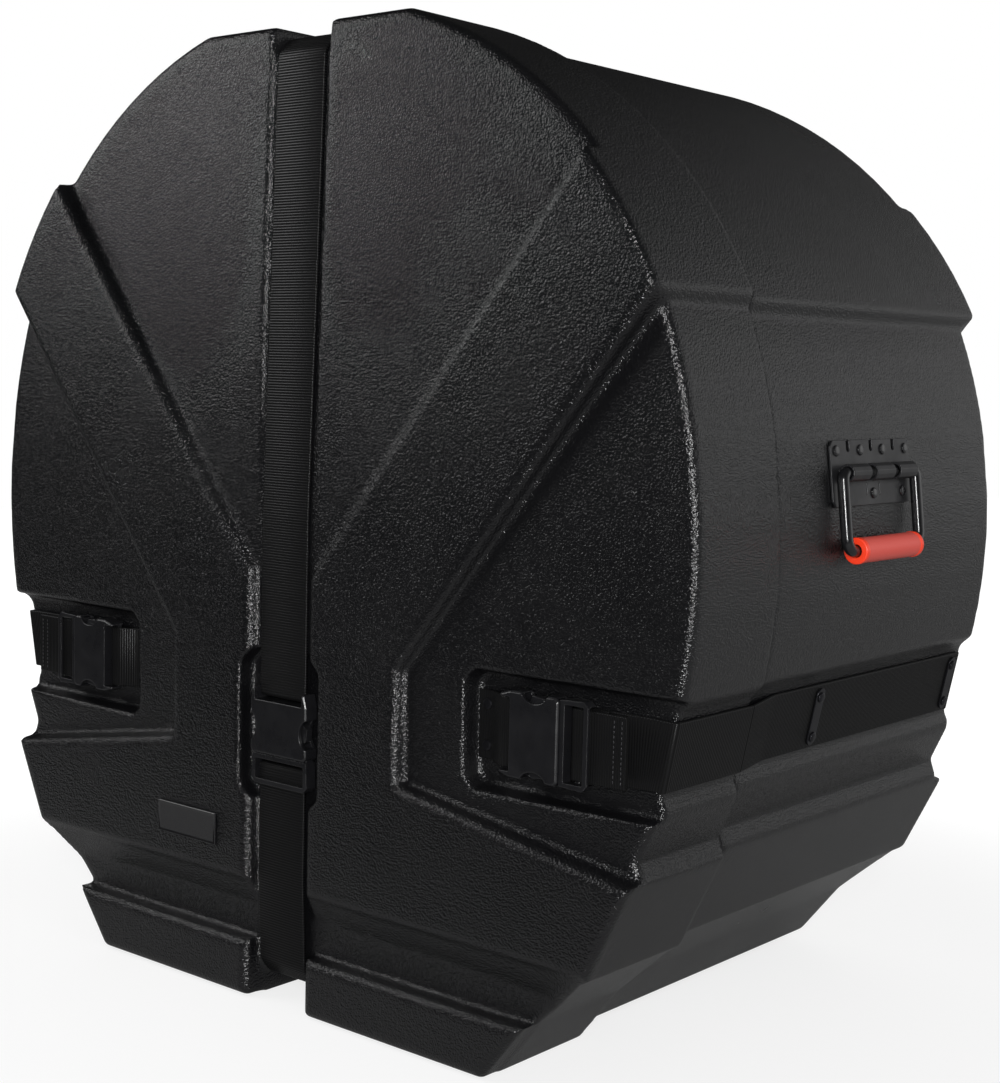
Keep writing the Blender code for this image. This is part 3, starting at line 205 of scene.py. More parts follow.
@dataclass(frozen=True)
class Pebbled(Finish):
    """Polyethylene moulded against a pebbled mould, with its handled edges burnished.

    The pebbles are drawn 1.5 mm wide because finer ones are too small to show. A second,
    wider swell keeps them from looking even.
    """

    pebble_mm: float = 1.5
    height_mm: float = 0.88
    swell: float = 2.6
    swell_share: float = 0.25
    patch: str = "#101011"
    patch_mm: float = 110.0
    shine: float = 0.03
    dull: float = 0.04
    burnish: float = 0.05
    edge_from: float = 0.50
    edge_full: float = 0.60

    def detail(self, tree: bpy.types.NodeTree, shader: bpy.types.Node) -> None:
        """Pebbles over a swell, patches of gloss and burnished edges.

        Args:
            tree: the material's node tree.
            shader: its Principled node.
        """
        place = add_node(tree, "ShaderNodeTexCoord").outputs["Object"]
        cloud = add_node(tree, "ShaderNodeTexNoise", {
            "Scale": 1 / (self.patch_mm * MM), **CLOUD}, {"Vector": place})
        pebble = add_node(tree, "ShaderNodeTexNoise", {
            "Scale": 1 / (self.pebble_mm * MM), "Detail": 1.5, "Roughness": 0.5},
            {"Vector": place})
        swell = add_node(tree, "ShaderNodeTexNoise", {
            "Scale": 1 / (self.pebble_mm * self.swell * MM), "Detail": 1.0}, {"Vector": place})
        relief = add_node(tree, "ShaderNodeMath", {
            "operation": "MULTIPLY_ADD", 1: self.swell_share},
            {0: swell.outputs["Fac"], 2: pebble.outputs["Fac"]})
        bump = add_node(tree, "ShaderNodeBump", {
            "Strength": 1.0, "Distance": self.height_mm * MM}, {"Height": relief.outputs[0]})
        tree.links.new(bump.outputs["Normal"], shader.inputs["Normal"])
        edge = add_node(tree, "ShaderNodeNewGeometry").outputs["Pointiness"]
        worn = add_node(tree, "ShaderNodeMapRange", {
            "From Min": self.edge_from, "From Max": self.edge_full, "To Min": 0.0,
            "To Max": 1.0}, {"Value": edge})
        matt = add_node(tree, "ShaderNodeMapRange", {
            "From Min": CLOUD_LOW, "From Max": CLOUD_HIGH,
            "To Min": self.roughness - self.shine, "To Max": self.roughness + self.dull},
            {"Value": cloud.outputs["Fac"]})
        rough = add_node(tree, "ShaderNodeMix", {
            "data_type": "FLOAT", 3: self.roughness - self.burnish},
            {0: worn.outputs["Result"], 2: matt.outputs["Result"]})
        tree.links.new(rough.outputs[0], shader.inputs["Roughness"])
        tint = add_node(tree, "ShaderNodeMix", {
            "data_type": "RGBA", 6: linear(self.colour), 7: linear(self.patch)},
            {0: cloud.outputs["Fac"]})
        tree.links.new(tint.outputs[2], shader.inputs["Base Color"])


@dataclass(frozen=True)
class Woven(Finish):
    """Polypropylene webbing, whose ribs are modelled and whose threads are drawn on them.

    The colour is that of the ribs' crests, and the grooves between them get a painted shade
    near black. The ribs' pitch is the modelled one, and the threads are drawn 1.3 mm apart,
    as coarse as they need to be to show.
    """

    rib_mm: float = 2.1
    thread_mm: float = 1.3
    thread_share: float = 0.6
    fuzz_mm: float = 0.5
    height_mm: float = 0.03
    # Painted shade: the near-black colour laid into the grooves between the ribs.
    painted_groove_shade: str = "#020202"
    groove_roughness: float = 1.0
    dull_below: float = 0.15
    glossy_above: float = 0.75

    def detail(self, tree: bpy.types.NodeTree, shader: bpy.types.Node) -> None:
        """Threads across the ribs, from the strap's own map in metres, with painted shade in the
        grooves.

        Args:
            tree: the material's node tree.
            shader: its Principled node.
        """
        uv = add_node(tree, "ShaderNodeUVMap", {"uv_map": "strap"}).outputs["UV"]
        split = add_node(tree, "ShaderNodeSeparateXYZ", {}, {"Vector": uv})
        ribs = self.wave(tree, split.outputs["Y"], self.rib_mm)
        threads = self.wave(tree, split.outputs["X"], self.thread_mm)
        fuzz = add_node(tree, "ShaderNodeTexNoise", {
            "Scale": 1 / (self.fuzz_mm * MM), "Detail": 2.0}, {"Vector": uv})
        both = add_node(tree, "ShaderNodeMath", {
            "operation": "MULTIPLY_ADD", 1: self.thread_share},
            {0: threads, 2: fuzz.outputs["Fac"]})
        bump = add_node(tree, "ShaderNodeBump", {
            "Strength": 1.0, "Distance": self.height_mm * MM}, {"Height": both.outputs[0]})
        tree.links.new(bump.outputs["Normal"], shader.inputs["Normal"])
        # The crests keep the webbing's colour and the grooves get the painted shade.
        shade = add_node(tree, "ShaderNodeMath", {"operation": "MULTIPLY"},
                         {0: ribs, 1: ribs})
        colour = add_node(tree, "ShaderNodeMix", {
            "data_type": "RGBA", 6: linear(self.painted_groove_shade), 7: linear(self.colour)},
            {0: shade.outputs[0]})
        tree.links.new(colour.outputs[2], shader.inputs["Base Color"])
        gloss = add_node(tree, "ShaderNodeMapRange", {
            "From Min": self.dull_below, "From Max": self.glossy_above,
            "To Min": self.groove_roughness, "To Max": self.roughness}, {"Value": ribs})
        tree.links.new(gloss.outputs["Result"], shader.inputs["Roughness"])

    @staticmethod
    def wave(tree: bpy.types.NodeTree, along: bpy.types.NodeSocket,
             pitch_mm: float) -> bpy.types.NodeSocket:
        """A round-topped wave.

        Args:
            tree: the node tree to add to.
            along: the distance in metres that the wave runs along.
            pitch_mm: the distance between its crests.

        Returns:
            A socket with the wave's height, from 0 to 1.
        """
        turn = add_node(tree, "ShaderNodeMath", {
            "operation": "MULTIPLY", 1: math.pi / (pitch_mm * MM)}, {0: along})
        swing = add_node(tree, "ShaderNodeMath", {"operation": "SINE"}, {0: turn.outputs[0]})
        top = add_node(tree, "ShaderNodeMath", {"operation": "ABSOLUTE"}, {0: swing.outputs[0]})
        return top.outputs[0]


@dataclass(frozen=True)
class Cellular(Finish):
    """Open-cell polyurethane foam. Its pores are drawn 1.7 mm wide, coarser than most
    foam's, so that they show."""

    pore_mm: float = 1.7
    height_mm: float = 0.5
    # Painted shade for the insides of the pores.
    painted_pore_shade: str = "#151516"

    def detail(self, tree: bpy.types.NodeTree, shader: bpy.types.Node) -> None:
        """Pores as pits, their insides darkened with painted shade.

        Args:
            tree: the material's node tree.
            shader: its Principled node.
        """
        place = add_node(tree, "ShaderNodeTexCoord").outputs["Object"]
        pores = add_node(tree, "ShaderNodeTexVoronoi", {
            "Scale": 1 / (self.pore_mm * MM)}, {"Vector": place})
        bump = add_node(tree, "ShaderNodeBump", {
            "Strength": 1.0, "Distance": self.height_mm * MM},
            {"Height": pores.outputs["Distance"]})
        tree.links.new(bump.outputs["Normal"], shader.inputs["Normal"])
        # The pores' insides are darkened with painted shade.
        colour = add_node(tree, "ShaderNodeMix", {
            "data_type": "RGBA", 6: linear(self.painted_pore_shade), 7: linear(self.colour)},
            {0: pores.outputs["Distance"]})
        tree.links.new(colour.outputs[2], shader.inputs["Base Color"])


# Polyethylene from a pebbled mould: a near-black skin with a low gloss, whose pebbles break
# each highlight into sparks and whose edges run brighter.
SHELL = Pebbled("rotomoulded_polyethylene", "#08080a", 0.24, ior=1.51)
# Polypropylene yarn woven into ribs: fine bright and dark bars, silky on the crests and
# matt in the grooves, whose darkness is painted shade.
WEBBING = Woven("woven_polypropylene_webbing", "#101011", 0.30, specular=0.22)
# Bonded nylon thread: short dashes, a shade lighter than the webbing they sink into.
THREAD = Grained("bonded_nylon_thread", "#19191b", 0.5, ior=1.53, grain_mm=0.5,
                 height_mm=0.01, patch="#232326")
# Acetal from a plain mould: a smooth, waxy black with broad, soft highlights.
ACETAL = Grained("injection_moulded_acetal", "#0e0e10", 0.30, ior=1.48, grain_mm=0.9,
                 height_mm=0.012)
# Powder coat baked glossy on steel: deep black with a wet highlight and slight orange peel.
POWDER = Grained("gloss_powder_coated_steel", "#070708", 0.22, coat=0.2, grain_mm=1.3,
                 height_mm=0.012)
# Powder coat baked satin on pressed steel: dark grey that spreads light over the flat plate.
SATIN = Grained("satin_powder_coated_steel", "#161618", 0.42, grain_mm=0.9,
                height_mm=0.02)
# Zinc plate passivated black: a dull metal that shows the lamps as grey smears.
ZINC = Grained("black_zinc_plated_steel", "#323236", 0.36, metallic=0.85, grain_mm=0.7,
               height_mm=0.015, patch="#242427")
# Cast rubber: a soft, matt red that takes no sharp highlight.
RUBBER = Grained("cast_rubber_grip", "#c9453b", 0.48, ior=1.52, grain_mm=1.0,
                 height_mm=0.03, patch="#cc5449")
# The collars' cast rubber: more orange and a little glossier, which marks the grip's ends.
RUBBER_END = Grained("cast_rubber_collar", "#f03a1c", 0.35, ior=1.52, grain_mm=1.0,
                     height_mm=0.02, patch="#e23c1e")
# Polyurethane foam: a dull grey with painted shade in its pores, and no highlight.
FOAM = Cellular("open_cell_polyurethane_foam", "#48484b", 0.95)
# Enamel baked on a small plate: smooth, level black with one clear highlight.
ENAMEL = Grained("bare_enamelled_plate", "#09090a", 0.22, coat=0.4, grain_mm=1.0,
                 height_mm=0.006)


class Workshop:
    """Makes and changes meshes with Blender's own operators."""

    merge = 0.01 * MM
    flat = math.radians(0.6)
    sharp = math.radians(33)
    smooth = math.radians(38)

    @staticmethod
    def only(item: bpy.types.Object) -> None:
        """Selects one object alone and makes it active.

        Args:
            item: the object.
        """
        bpy.ops.object.select_all(action="DESELECT")
        item.select_set(True)
        bpy.context.view_layer.objects.active = item

    @classmethod
    def apply(cls, item: bpy.types.Object, kind: str, **settings: object) -> None:
        """Adds a modifier, sets it and applies it.

        Args:
            item: the object.
            kind: the modifier's type.
            settings: the modifier's attributes.
        """
        cls.only(item)
        modifier = item.modifiers.new(kind.lower(), kind)
        for key, value in settings.items():
            setattr(modifier, key, value)
        bpy.ops.object.modifier_apply(modifier=modifier.name)

    @classmethod
    def copy_node(cls, node: str, name: str) -> bpy.types.Object:
        """Copies a CAD node's mesh, merged and with its flat faces whole again.

        Args:
            node: the CAD node.
            name: the new object's name.

        Returns:
            The copy.
        """
        source = bpy.data.objects[node]
        made = bpy.data.objects.new(name, source.data.copy())
        bpy.context.scene.collection.objects.link(made)
        cls.only(made)
        bpy.ops.object.mode_set(mode="EDIT")
        bpy.ops.mesh.select_all(action="SELECT")
        bpy.ops.mesh.remove_doubles(threshold=cls.merge)
        bpy.ops.mesh.dissolve_limited(angle_limit=cls.flat)
        bpy.ops.object.mode_set(mode="OBJECT")
        return made

    @classmethod
    def pick(cls, item: bpy.types.Object, test: Callable[[bpy.types.MeshPolygon], bool]) -> None:
        """Opens an object in edit mode with only some of its faces selected.

        Args:
            item: the object.
            test: says whether a face is selected.
        """
        cls.only(item)
        bpy.ops.object.mode_set(mode="EDIT")
        bpy.ops.mesh.select_mode(type="FACE")
        bpy.ops.mesh.select_all(action="DESELECT")
        bpy.ops.object.mode_set(mode="OBJECT")
        for face in item.data.polygons:
            face.select = test(face)
        bpy.ops.object.mode_set(mode="EDIT")

    @staticmethod
    def block(name: str, corners: list[Vector]) -> bpy.types.Object:
        """A six-sided block for cutting.

        Args:
            name: the block's name.
            corners: its eight corners, each of three directions low and then high.

        Returns:
            The block.
        """
        bpy.ops.object.select_all(action="DESELECT")
        bpy.ops.mesh.primitive_cube_add(size=2)
        block = bpy.context.object
        block.name = name
        for vert in block.data.vertices:
            x, y, z = (int(value > 0) for value in vert.co)
            vert.co = corners[4 * x + 2 * y + z]
        bpy.ops.object.mode_set(mode="EDIT")
        bpy.ops.mesh.select_all(action="SELECT")
        bpy.ops.mesh.normals_make_consistent(inside=False)
        bpy.ops.object.mode_set(mode="OBJECT")
        return block

    @classmethod
    def cut(cls, item: bpy.types.Object, tool: bpy.types.Object) -> None:
        """Cuts one object with another, which is used up.

        Args:
            item: the object that is cut.
            tool: the cutter.
        """
        cls.apply(item, "BOOLEAN", operation="DIFFERENCE", solver="EXACT", object=tool)
        bpy.data.objects.remove(tool)

    @classmethod
    def soften(cls, item: bpy.types.Object, voxel: float, rounds: int, keep: float) -> None:
        """Gives a moulding its melted, radiused edges and keeps its walls.

        Args:
            item: the object.
            voxel: the remeshing step, in metres, which sets the edges' radius.
            rounds: how many times the surface is eased.
            keep: the share of the triangles that stays.
        """
        cls.apply(item, "REMESH", mode="VOXEL", voxel_size=voxel, use_smooth_shade=True)
        cls.apply(item, "SMOOTH", factor=0.5, iterations=rounds)
        cls.apply(item, "DECIMATE", ratio=keep)
        cls.only(item)
        bpy.ops.object.shade_smooth()

    @classmethod
    def bevel(cls, item: bpy.types.Object, width: float, segments: int = 2) -> None:
        """Rounds an object's sharp edges and shades it smooth.

        Args:
            item: the object.
            width: how far back the rounding starts, in metres.
            segments: how many faces round each edge.
        """
        cls.apply(item, "BEVEL", width=width, segments=segments, limit_method="ANGLE",
                  angle_limit=cls.sharp)
        bpy.ops.object.shade_smooth_by_angle(angle=cls.smooth)
        cls.apply(item, "WEIGHTED_NORMAL", keep_sharp=True)


def dress(piece: bpy.types.Object, finish: Finish, body: str, slot: str,
          *nodes: str) -> bpy.types.Object:
    """Gives a piece its finish and its body, and hides the nodes it stands for.

    Args:
        piece: the finished piece.
        finish: its material.
        body: the CAD body that carries it.
        slot: the record's material slot; not used.
        nodes: the CAD nodes that it replaces.

    Returns:
        The piece.
    """
    finish.put_on(piece)
    if nodes:
        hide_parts(*nodes)
    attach(piece, body)
    log.info("%s: %d faces on %s", piece.name, len(piece.data.polygons), body)
    return piece


@dataclass
class Shells:
    """The two moulded shells, with the soft edges that rotational moulding leaves."""

    voxel: float = 2.3 * MM
    rounds: int = 5
    keep: float = 0.20
    bodies: dict[str, str] = field(default_factory=lambda: {
        "lid_shell": "lid", "base_shell": "base"})

    def build(self) -> None:
        """Replaces both shells."""
        for node, body in self.bodies.items():
            piece = Workshop.copy_node(node, node + "_moulding")
            Workshop.soften(piece, self.voxel, self.rounds, self.keep)
            dress(piece, SHELL, body, "shell_plastic", node)


@dataclass
class Lining:
    """The foam that the drum sits in: a wall lining and two pads with softened rims."""

    edge: float = 2.5 * MM
    edge_faces: int = 3
    fill: float = 0.9
    bodies: dict[str, str] = field(default_factory=lambda: {
        "lid_pad": "lid", "rear_pad": "base", "wall_lining": "base"})

    def build(self) -> None:
        """Replaces the foam."""
        for node, body in self.bodies.items():
            piece = Workshop.copy_node(node, node + "_foam")
            Workshop.bevel(piece, self.edge, self.edge_faces)
            dress(piece, FOAM, body, "foam", node)


@dataclass
class Webbing:
    """A length of ribbed webbing along a middle line, made flat and then laid.

    The selvedge is the cross-section: shares of the half width, each with the share of the
    thickness that the webbing has there.
    """

    width: float = 50 * MM
    thick: float = 1.9 * MM
    rib: float = 2.1 * MM
    rib_rise: float = 0.40 * MM
    rib_steps: int = 4
    least_steps: int = 4
    bend: float = 2.2 * MM
    bend_share: float = 0.45
    bend_steps: int = 4
    crease: float = math.radians(60)
    selvedge: tuple[tuple[float, float], ...] = (
        (-1.0, 0.35), (-0.985, 0.8), (-0.955, 1.0), (0.0, 1.0), (0.955, 1.0), (0.985, 0.8),
        (1.0, 0.35))

    def lay(self, name: str, stations: list[tuple[Vector, Vector]]) -> bpy.types.Object:
        """Makes a strap.

        Args:
            name: the strap's name.
            stations: points of the middle line, each with the direction across the strap.

        Returns:
            The strap, with its own map in metres.
        """
        line = self.eased(stations)
        lengths = [0.0]
        for (a, _), (b, _) in zip(line, line[1:]):
            lengths.append(lengths[-1] + (b - a).length)
        whole = lengths[-1]
        steps = max(self.least_steps, round(whole / self.rib * self.rib_steps))
        columns = len(self.selvedge) - 1
        bpy.ops.object.select_all(action="DESELECT")
        bpy.ops.mesh.primitive_grid_add(x_subdivisions=steps, y_subdivisions=columns, size=1)
        strap = bpy.context.object
        strap.name = name
        for vert in strap.data.vertices:
            column = round((vert.co.y + 0.5) * columns)
            vert.co.x = (vert.co.x + 0.5) * whole
            vert.co.y = self.selvedge[column][0] * self.width / 2
        self.map_flat(strap)
        Workshop.apply(strap, "SOLIDIFY", thickness=self.thick, offset=0.0)
        shares = {round(v * self.width / 2, 6): w for v, w in self.selvedge}
        for vert in strap.data.vertices:
            u, v, w = vert.co
            share = shares[min(shares, key=lambda known: abs(known - v))]
            rise = abs(math.sin(math.pi * u / self.rib)) * self.rib_rise
            height = math.copysign((self.thick / 2 + rise) * share, w)
            vert.co = self.place(line, lengths, u, v, height)
        Workshop.only(strap)
        bpy.ops.object.mode_set(mode="EDIT")
        bpy.ops.mesh.select_all(action="SELECT")
        bpy.ops.mesh.normals_make_consistent(inside=False)
        bpy.ops.object.mode_set(mode="OBJECT")
        bpy.ops.object.shade_smooth_by_angle(angle=self.crease)
        return strap

    @staticmethod
    def map_flat(strap: bpy.types.Object) -> None:
        """Gives a flat strap its map: across in X and along in Y, in metres.

        Args:
            strap: the flat strap.
        """
        while strap.data.uv_layers:
            strap.data.uv_layers.remove(strap.data.uv_layers[0])
        layer = strap.data.uv_layers.new(name="strap")
        for loop in strap.data.loops:
            point = strap.data.vertices[loop.vertex_index].co
            layer.data[loop.index].uv = (point.y, point.x)

    def eased(self, stations: list[tuple[Vector, Vector]]) -> list[tuple[Vector, Vector]]:
        """Rounds the corners of a middle line.

        Args:
            stations: the line's corners with their directions across.

        Returns:
            The line with a curve of short steps at each corner.
        """
        line = [stations[0]]
        for i in range(1, len(stations) - 1):
            (a, _), (b, across), (c, _) = stations[i - 1:i + 2]
            back, ahead = a - b, c - b
            reach = min(self.bend * 2, back.length * self.bend_share,
                        ahead.length * self.bend_share)
            p, q = b + back.normalized() * reach, b + ahead.normalized() * reach
            for k in range(self.bend_steps + 1):
                t = k / self.bend_steps
                line.append((p * (1 - t) ** 2 + b * 2 * t * (1 - t) + q * t ** 2, across))
        line.append(stations[-1])
        return line

    @staticmethod
    def place(line: list[tuple[Vector, Vector]], lengths: list[float], u: float, v: float,
              w: float) -> Vector:
        """Finds where a point of the flat strap lies.

        Args:
            line: the middle line with its directions across.
            lengths: the distance along the line at each of its points.
            u: the distance along the strap.
            v: the distance across it.
            w: the height over its middle.

        Returns:
            The point.
        """
        i = 0
        while i < len(lengths) - 2 and lengths[i + 1] < u:
            i += 1
        (a, across_a), (b, across_b) = line[i], line[i + 1]
        span = max(lengths[i + 1] - lengths[i], TINY)
        t = (u - lengths[i]) / span
        before = a - line[i - 1][0] if i else b - a
        after = line[i + 2][0] - b if i + 2 < len(line) else b - a
        here = (b - a).normalized()
        start = (before.normalized() + here).normalized()
        end = (after.normalized() + here).normalized()
        along = start.lerp(end, t).normalized()
        across = across_a.lerp(across_b, t).normalized()
        return a.lerp(b, t) + across * v + along.cross(across).normalized() * w


def millimetres(*values: float) -> Vector:
    """A vector from millimetres."""
    return Vector(values) * MM


@dataclass
class CentreStrap:
    """The strap round the whole case, in three lengths that meet at the buckle and the seam.

    Each line is the strap's middle line, as (y, z) points in mm.
    """

    weave: Webbing = field(default_factory=Webbing)
    upper: tuple[tuple[float, float], ...] = (
        (-113.35, 748.09), (-201.45, 748.09), (-213.69, 735.31), (-224.6, 385.0),
        (-224.6, 246.2), (-223.4, 245.05), (-219.05, 245.05))
    lower: tuple[tuple[float, float], ...] = (
        (-113.35, 19.95), (-212.05, 19.95), (-221.8, 32.5), (-224.6, 104.0),
        (-224.6, 189.5), (-223.4, 190.65), (-218.7, 190.65), (-217.5, 189.5),
        (-217.5, 174.7))
    rear: tuple[tuple[float, float], ...] = (
        (-112.75, 748.09), (-78.05, 741.59), (203.35, 741.59), (215.59, 728.81),
        (226.5, 385.0), (226.5, 104.0), (223.5, 39.0), (213.95, 26.45), (-78.05, 26.45),
        (-112.75, 19.95))

    def build(self) -> None:
        """Lays the three lengths."""
        for name, line, body in (("centre_strap_upper", self.upper, "lid"),
                                 ("centre_strap_lower", self.lower, "lid"),
                                 ("centre_strap_base", self.rear, "base")):
            stations = [(millimetres(0, y, z), RIGHT_AXIS) for y, z in line]
            strap = self.weave.lay(name + "_webbing", stations)
            dress(strap, WEBBING, body, "webbing", name)


@dataclass
class SideStrap:
    """One side's strap: the riveted stub, the adjustable tail and the run to the rear.

    Each line is a middle line on the right-hand side, in mm: (x, y) points at the strap's
    level, or (x, y, z) points. The run leans with the shell after its upright start.
    """

    side: Side
    weave: Webbing = field(default_factory=Webbing)
    stub: tuple[tuple[float, float], ...] = (
        (184.0, -205.6), (197.5, -205.6), (213.5, -216.2), (219.8, -216.2),
        (220.95, -215.0), (220.95, -210.65))
    tail: tuple[tuple[float, float], ...] = (
        (321.3, -216.2), (276.5, -216.2), (275.35, -215.0), (275.35, -210.3),
        (276.5, -209.1), (301.3, -209.1))
    front: tuple[tuple[float, float, float], ...] = (
        (269.3, -205.6, 250.0), (317.3, -205.6, 250.0), (343.3, -205.6, 250.0),
        (348.45, -205.4, 249.8), (348.52, -200.05, 249.7), (348.52, -113.35, 249.7))
    back: tuple[tuple[float, float, float], ...] = (
        (348.52, -112.75, 249.7), (345.72, -81.05, 252.82), (345.72, 207.95, 252.82))
    level: float = 250.0
    upright: int = 2
    tilt: tuple[float, float, float] = (0.1961, 0.0, 0.9806)

    def mirrored(self, x: float, y: float, z: float) -> Vector:
        """A right-hand point in millimetres, on this side."""
        return millimetres(x * self.side.value, y, z)

    def across(self, x: float, y: float, z: float) -> Vector:
        """A right-hand direction, on this side."""
        return Vector((x * self.side.value, y, z))

    def build(self) -> None:
        """Lays the four lengths."""
        tag = self.side.tag
        for name, line, body in (("strap_stub", self.stub, "lid"),
                                 ("strap_tail", self.tail, "male_" + tag)):
            stations = [(self.mirrored(x, y, self.level), self.across(0, 0, 1))
                        for x, y in line]
            strap = self.weave.lay(f"{name}_webbing_{tag}", stations)
            dress(strap, WEBBING, body, "webbing", f"{name}_{tag}")
        stations = [(self.mirrored(*point), self.across(0, 0, 1) if i < self.upright
                     else self.across(*self.tilt)) for i, point in enumerate(self.front)]
        strap = self.weave.lay(f"side_strap_front_webbing_{tag}", stations)
        dress(strap, WEBBING, "lid", "webbing", f"side_strap_front_{tag}")
        stations = [(self.mirrored(*point), self.across(*self.tilt)) for point in self.back]
        strap = self.weave.lay(f"side_strap_base_webbing_{tag}", stations)
        dress(strap, WEBBING, "base", "webbing", f"side_strap_base_{tag}")


@dataclass
class Stitching:
    """Two rows of stitches through the tail's hem, in mm.

    The thread is a stitch's three radii, thick enough to show, and the rows are their
    places across the case.
    """

    side: Side
    rows: tuple[float, ...] = (311.0, 317.5)
    face: float = -217.45
    level: float = 250.0
    half: float = 20.4
    pitch: float = 3.4
    thread: tuple[float, float, float] = (0.42, 0.34, 1.25)

    def build(self) -> None:
        """Sews one stitch and repeats it along both rows."""
        bpy.ops.object.select_all(action="DESELECT")
        bpy.ops.mesh.primitive_uv_sphere_add(segments=8, ring_count=6, radius=1)
        stitch = bpy.context.object
        bpy.ops.object.mode_set(mode="EDIT")
        bpy.ops.mesh.select_all(action="SELECT")
        bpy.ops.transform.resize(value=[length * MM for length in self.thread])
        bpy.ops.object.mode_set(mode="OBJECT")
        bpy.ops.object.shade_smooth()
        count = int(2 * self.half / self.pitch) + 1
        copies = []
        for row in self.rows:
            for i in range(count):
                mesh = stitch.data.copy()
                mesh.transform(Matrix.Translation(millimetres(
                    row * self.side.value, self.face, self.level - self.half
                    + i * self.pitch)))
                item = bpy.data.objects.new("stitch", mesh)
                bpy.context.scene.collection.objects.link(item)
                copies.append(item)
        bpy.data.objects.remove(stitch)
        Workshop.only(copies[0])
        for item in copies:
            item.select_set(True)
        bpy.ops.object.join()
        row_of_stitches = bpy.context.object
        row_of_stitches.name = "tail_stitching_" + self.side.tag
        dress(row_of_stitches, THREAD, "male_" + self.side.tag, "webbing")


@dataclass
class Buckles:
    """The side-release buckles: softened acetal mouldings.

    The seats are the buckles' middles and the notches their thumb hollows, all in mm.
    """

    voxel: float = 0.45 * MM
    rounds: int = 3
    keep: float = 0.35
    notch_at: float = 31.0
    notch_rim: float = 32.0
    notch_long: float = 11.5
    notch_deep: float = 8.0
    notch_through: float = 40.0
    notch_sides: int = 40
    centre_seat: tuple[float, float, float] = (0.0, -215.55, 251.0)
    side_seat: tuple[float, float, float] = (215.0, -207.15, 250.0)

    def notch(self, node: str, sign: int) -> bpy.types.Object:
        """A cutter for the hollow that a thumb presses the prong through.

        Args:
            node: the female half's CAD node.
            sign: which edge of the buckle.

        Returns:
            The cutter.
        """
        if node.startswith("centre"):
            x, y, z = self.centre_seat
            spot = (x + sign * self.notch_rim, y, z - self.notch_at)
            spread = (self.notch_deep, self.notch_through, self.notch_long)
        else:
            x, y, z = self.side_seat
            x = (x + self.notch_at) * (-1 if node.endswith("left") else 1)
            spot = (x, y, z + sign * self.notch_rim)
            spread = (self.notch_long, self.notch_through, self.notch_deep)
        bpy.ops.object.select_all(action="DESELECT")
        bpy.ops.mesh.primitive_cylinder_add(vertices=self.notch_sides, radius=1, depth=1,
                                            rotation=(math.pi / 2, 0, 0))
        cutter = bpy.context.object
        bpy.ops.object.transform_apply(location=True, rotation=True, scale=True)
        cutter.scale = [length * MM for length in spread]
        cutter.location = millimetres(*spot)
        bpy.ops.object.transform_apply(location=True, rotation=True, scale=True)
        return cutter

    def build(self) -> None:
        """Replaces each buckle's halves and prongs."""
        bodies = {"centre_buckle_female": "lid", "centre_buckle_male": "lid"}
        for side in Side:
            tag = side.tag
            bodies[f"centre_buckle_prong_{tag}"] = f"centre_prong_{tag}"
            bodies[f"buckle_female_{tag}"] = "lid"
            bodies[f"buckle_male_{tag}"] = f"male_{tag}"
            for level in ("upper", "lower"):
                bodies[f"buckle_prong_{level}_{tag}"] = f"prong_{level}_{tag}"
        for node, body in bodies.items():
            piece = Workshop.copy_node(node, node + "_moulding")
            if "female" in node:
                for sign in (-1, 1):
                    Workshop.cut(piece, self.notch(node, sign))
            Workshop.soften(piece, self.voxel, self.rounds, self.keep)
            dress(piece, ACETAL, body, "buckle_plastic", node)


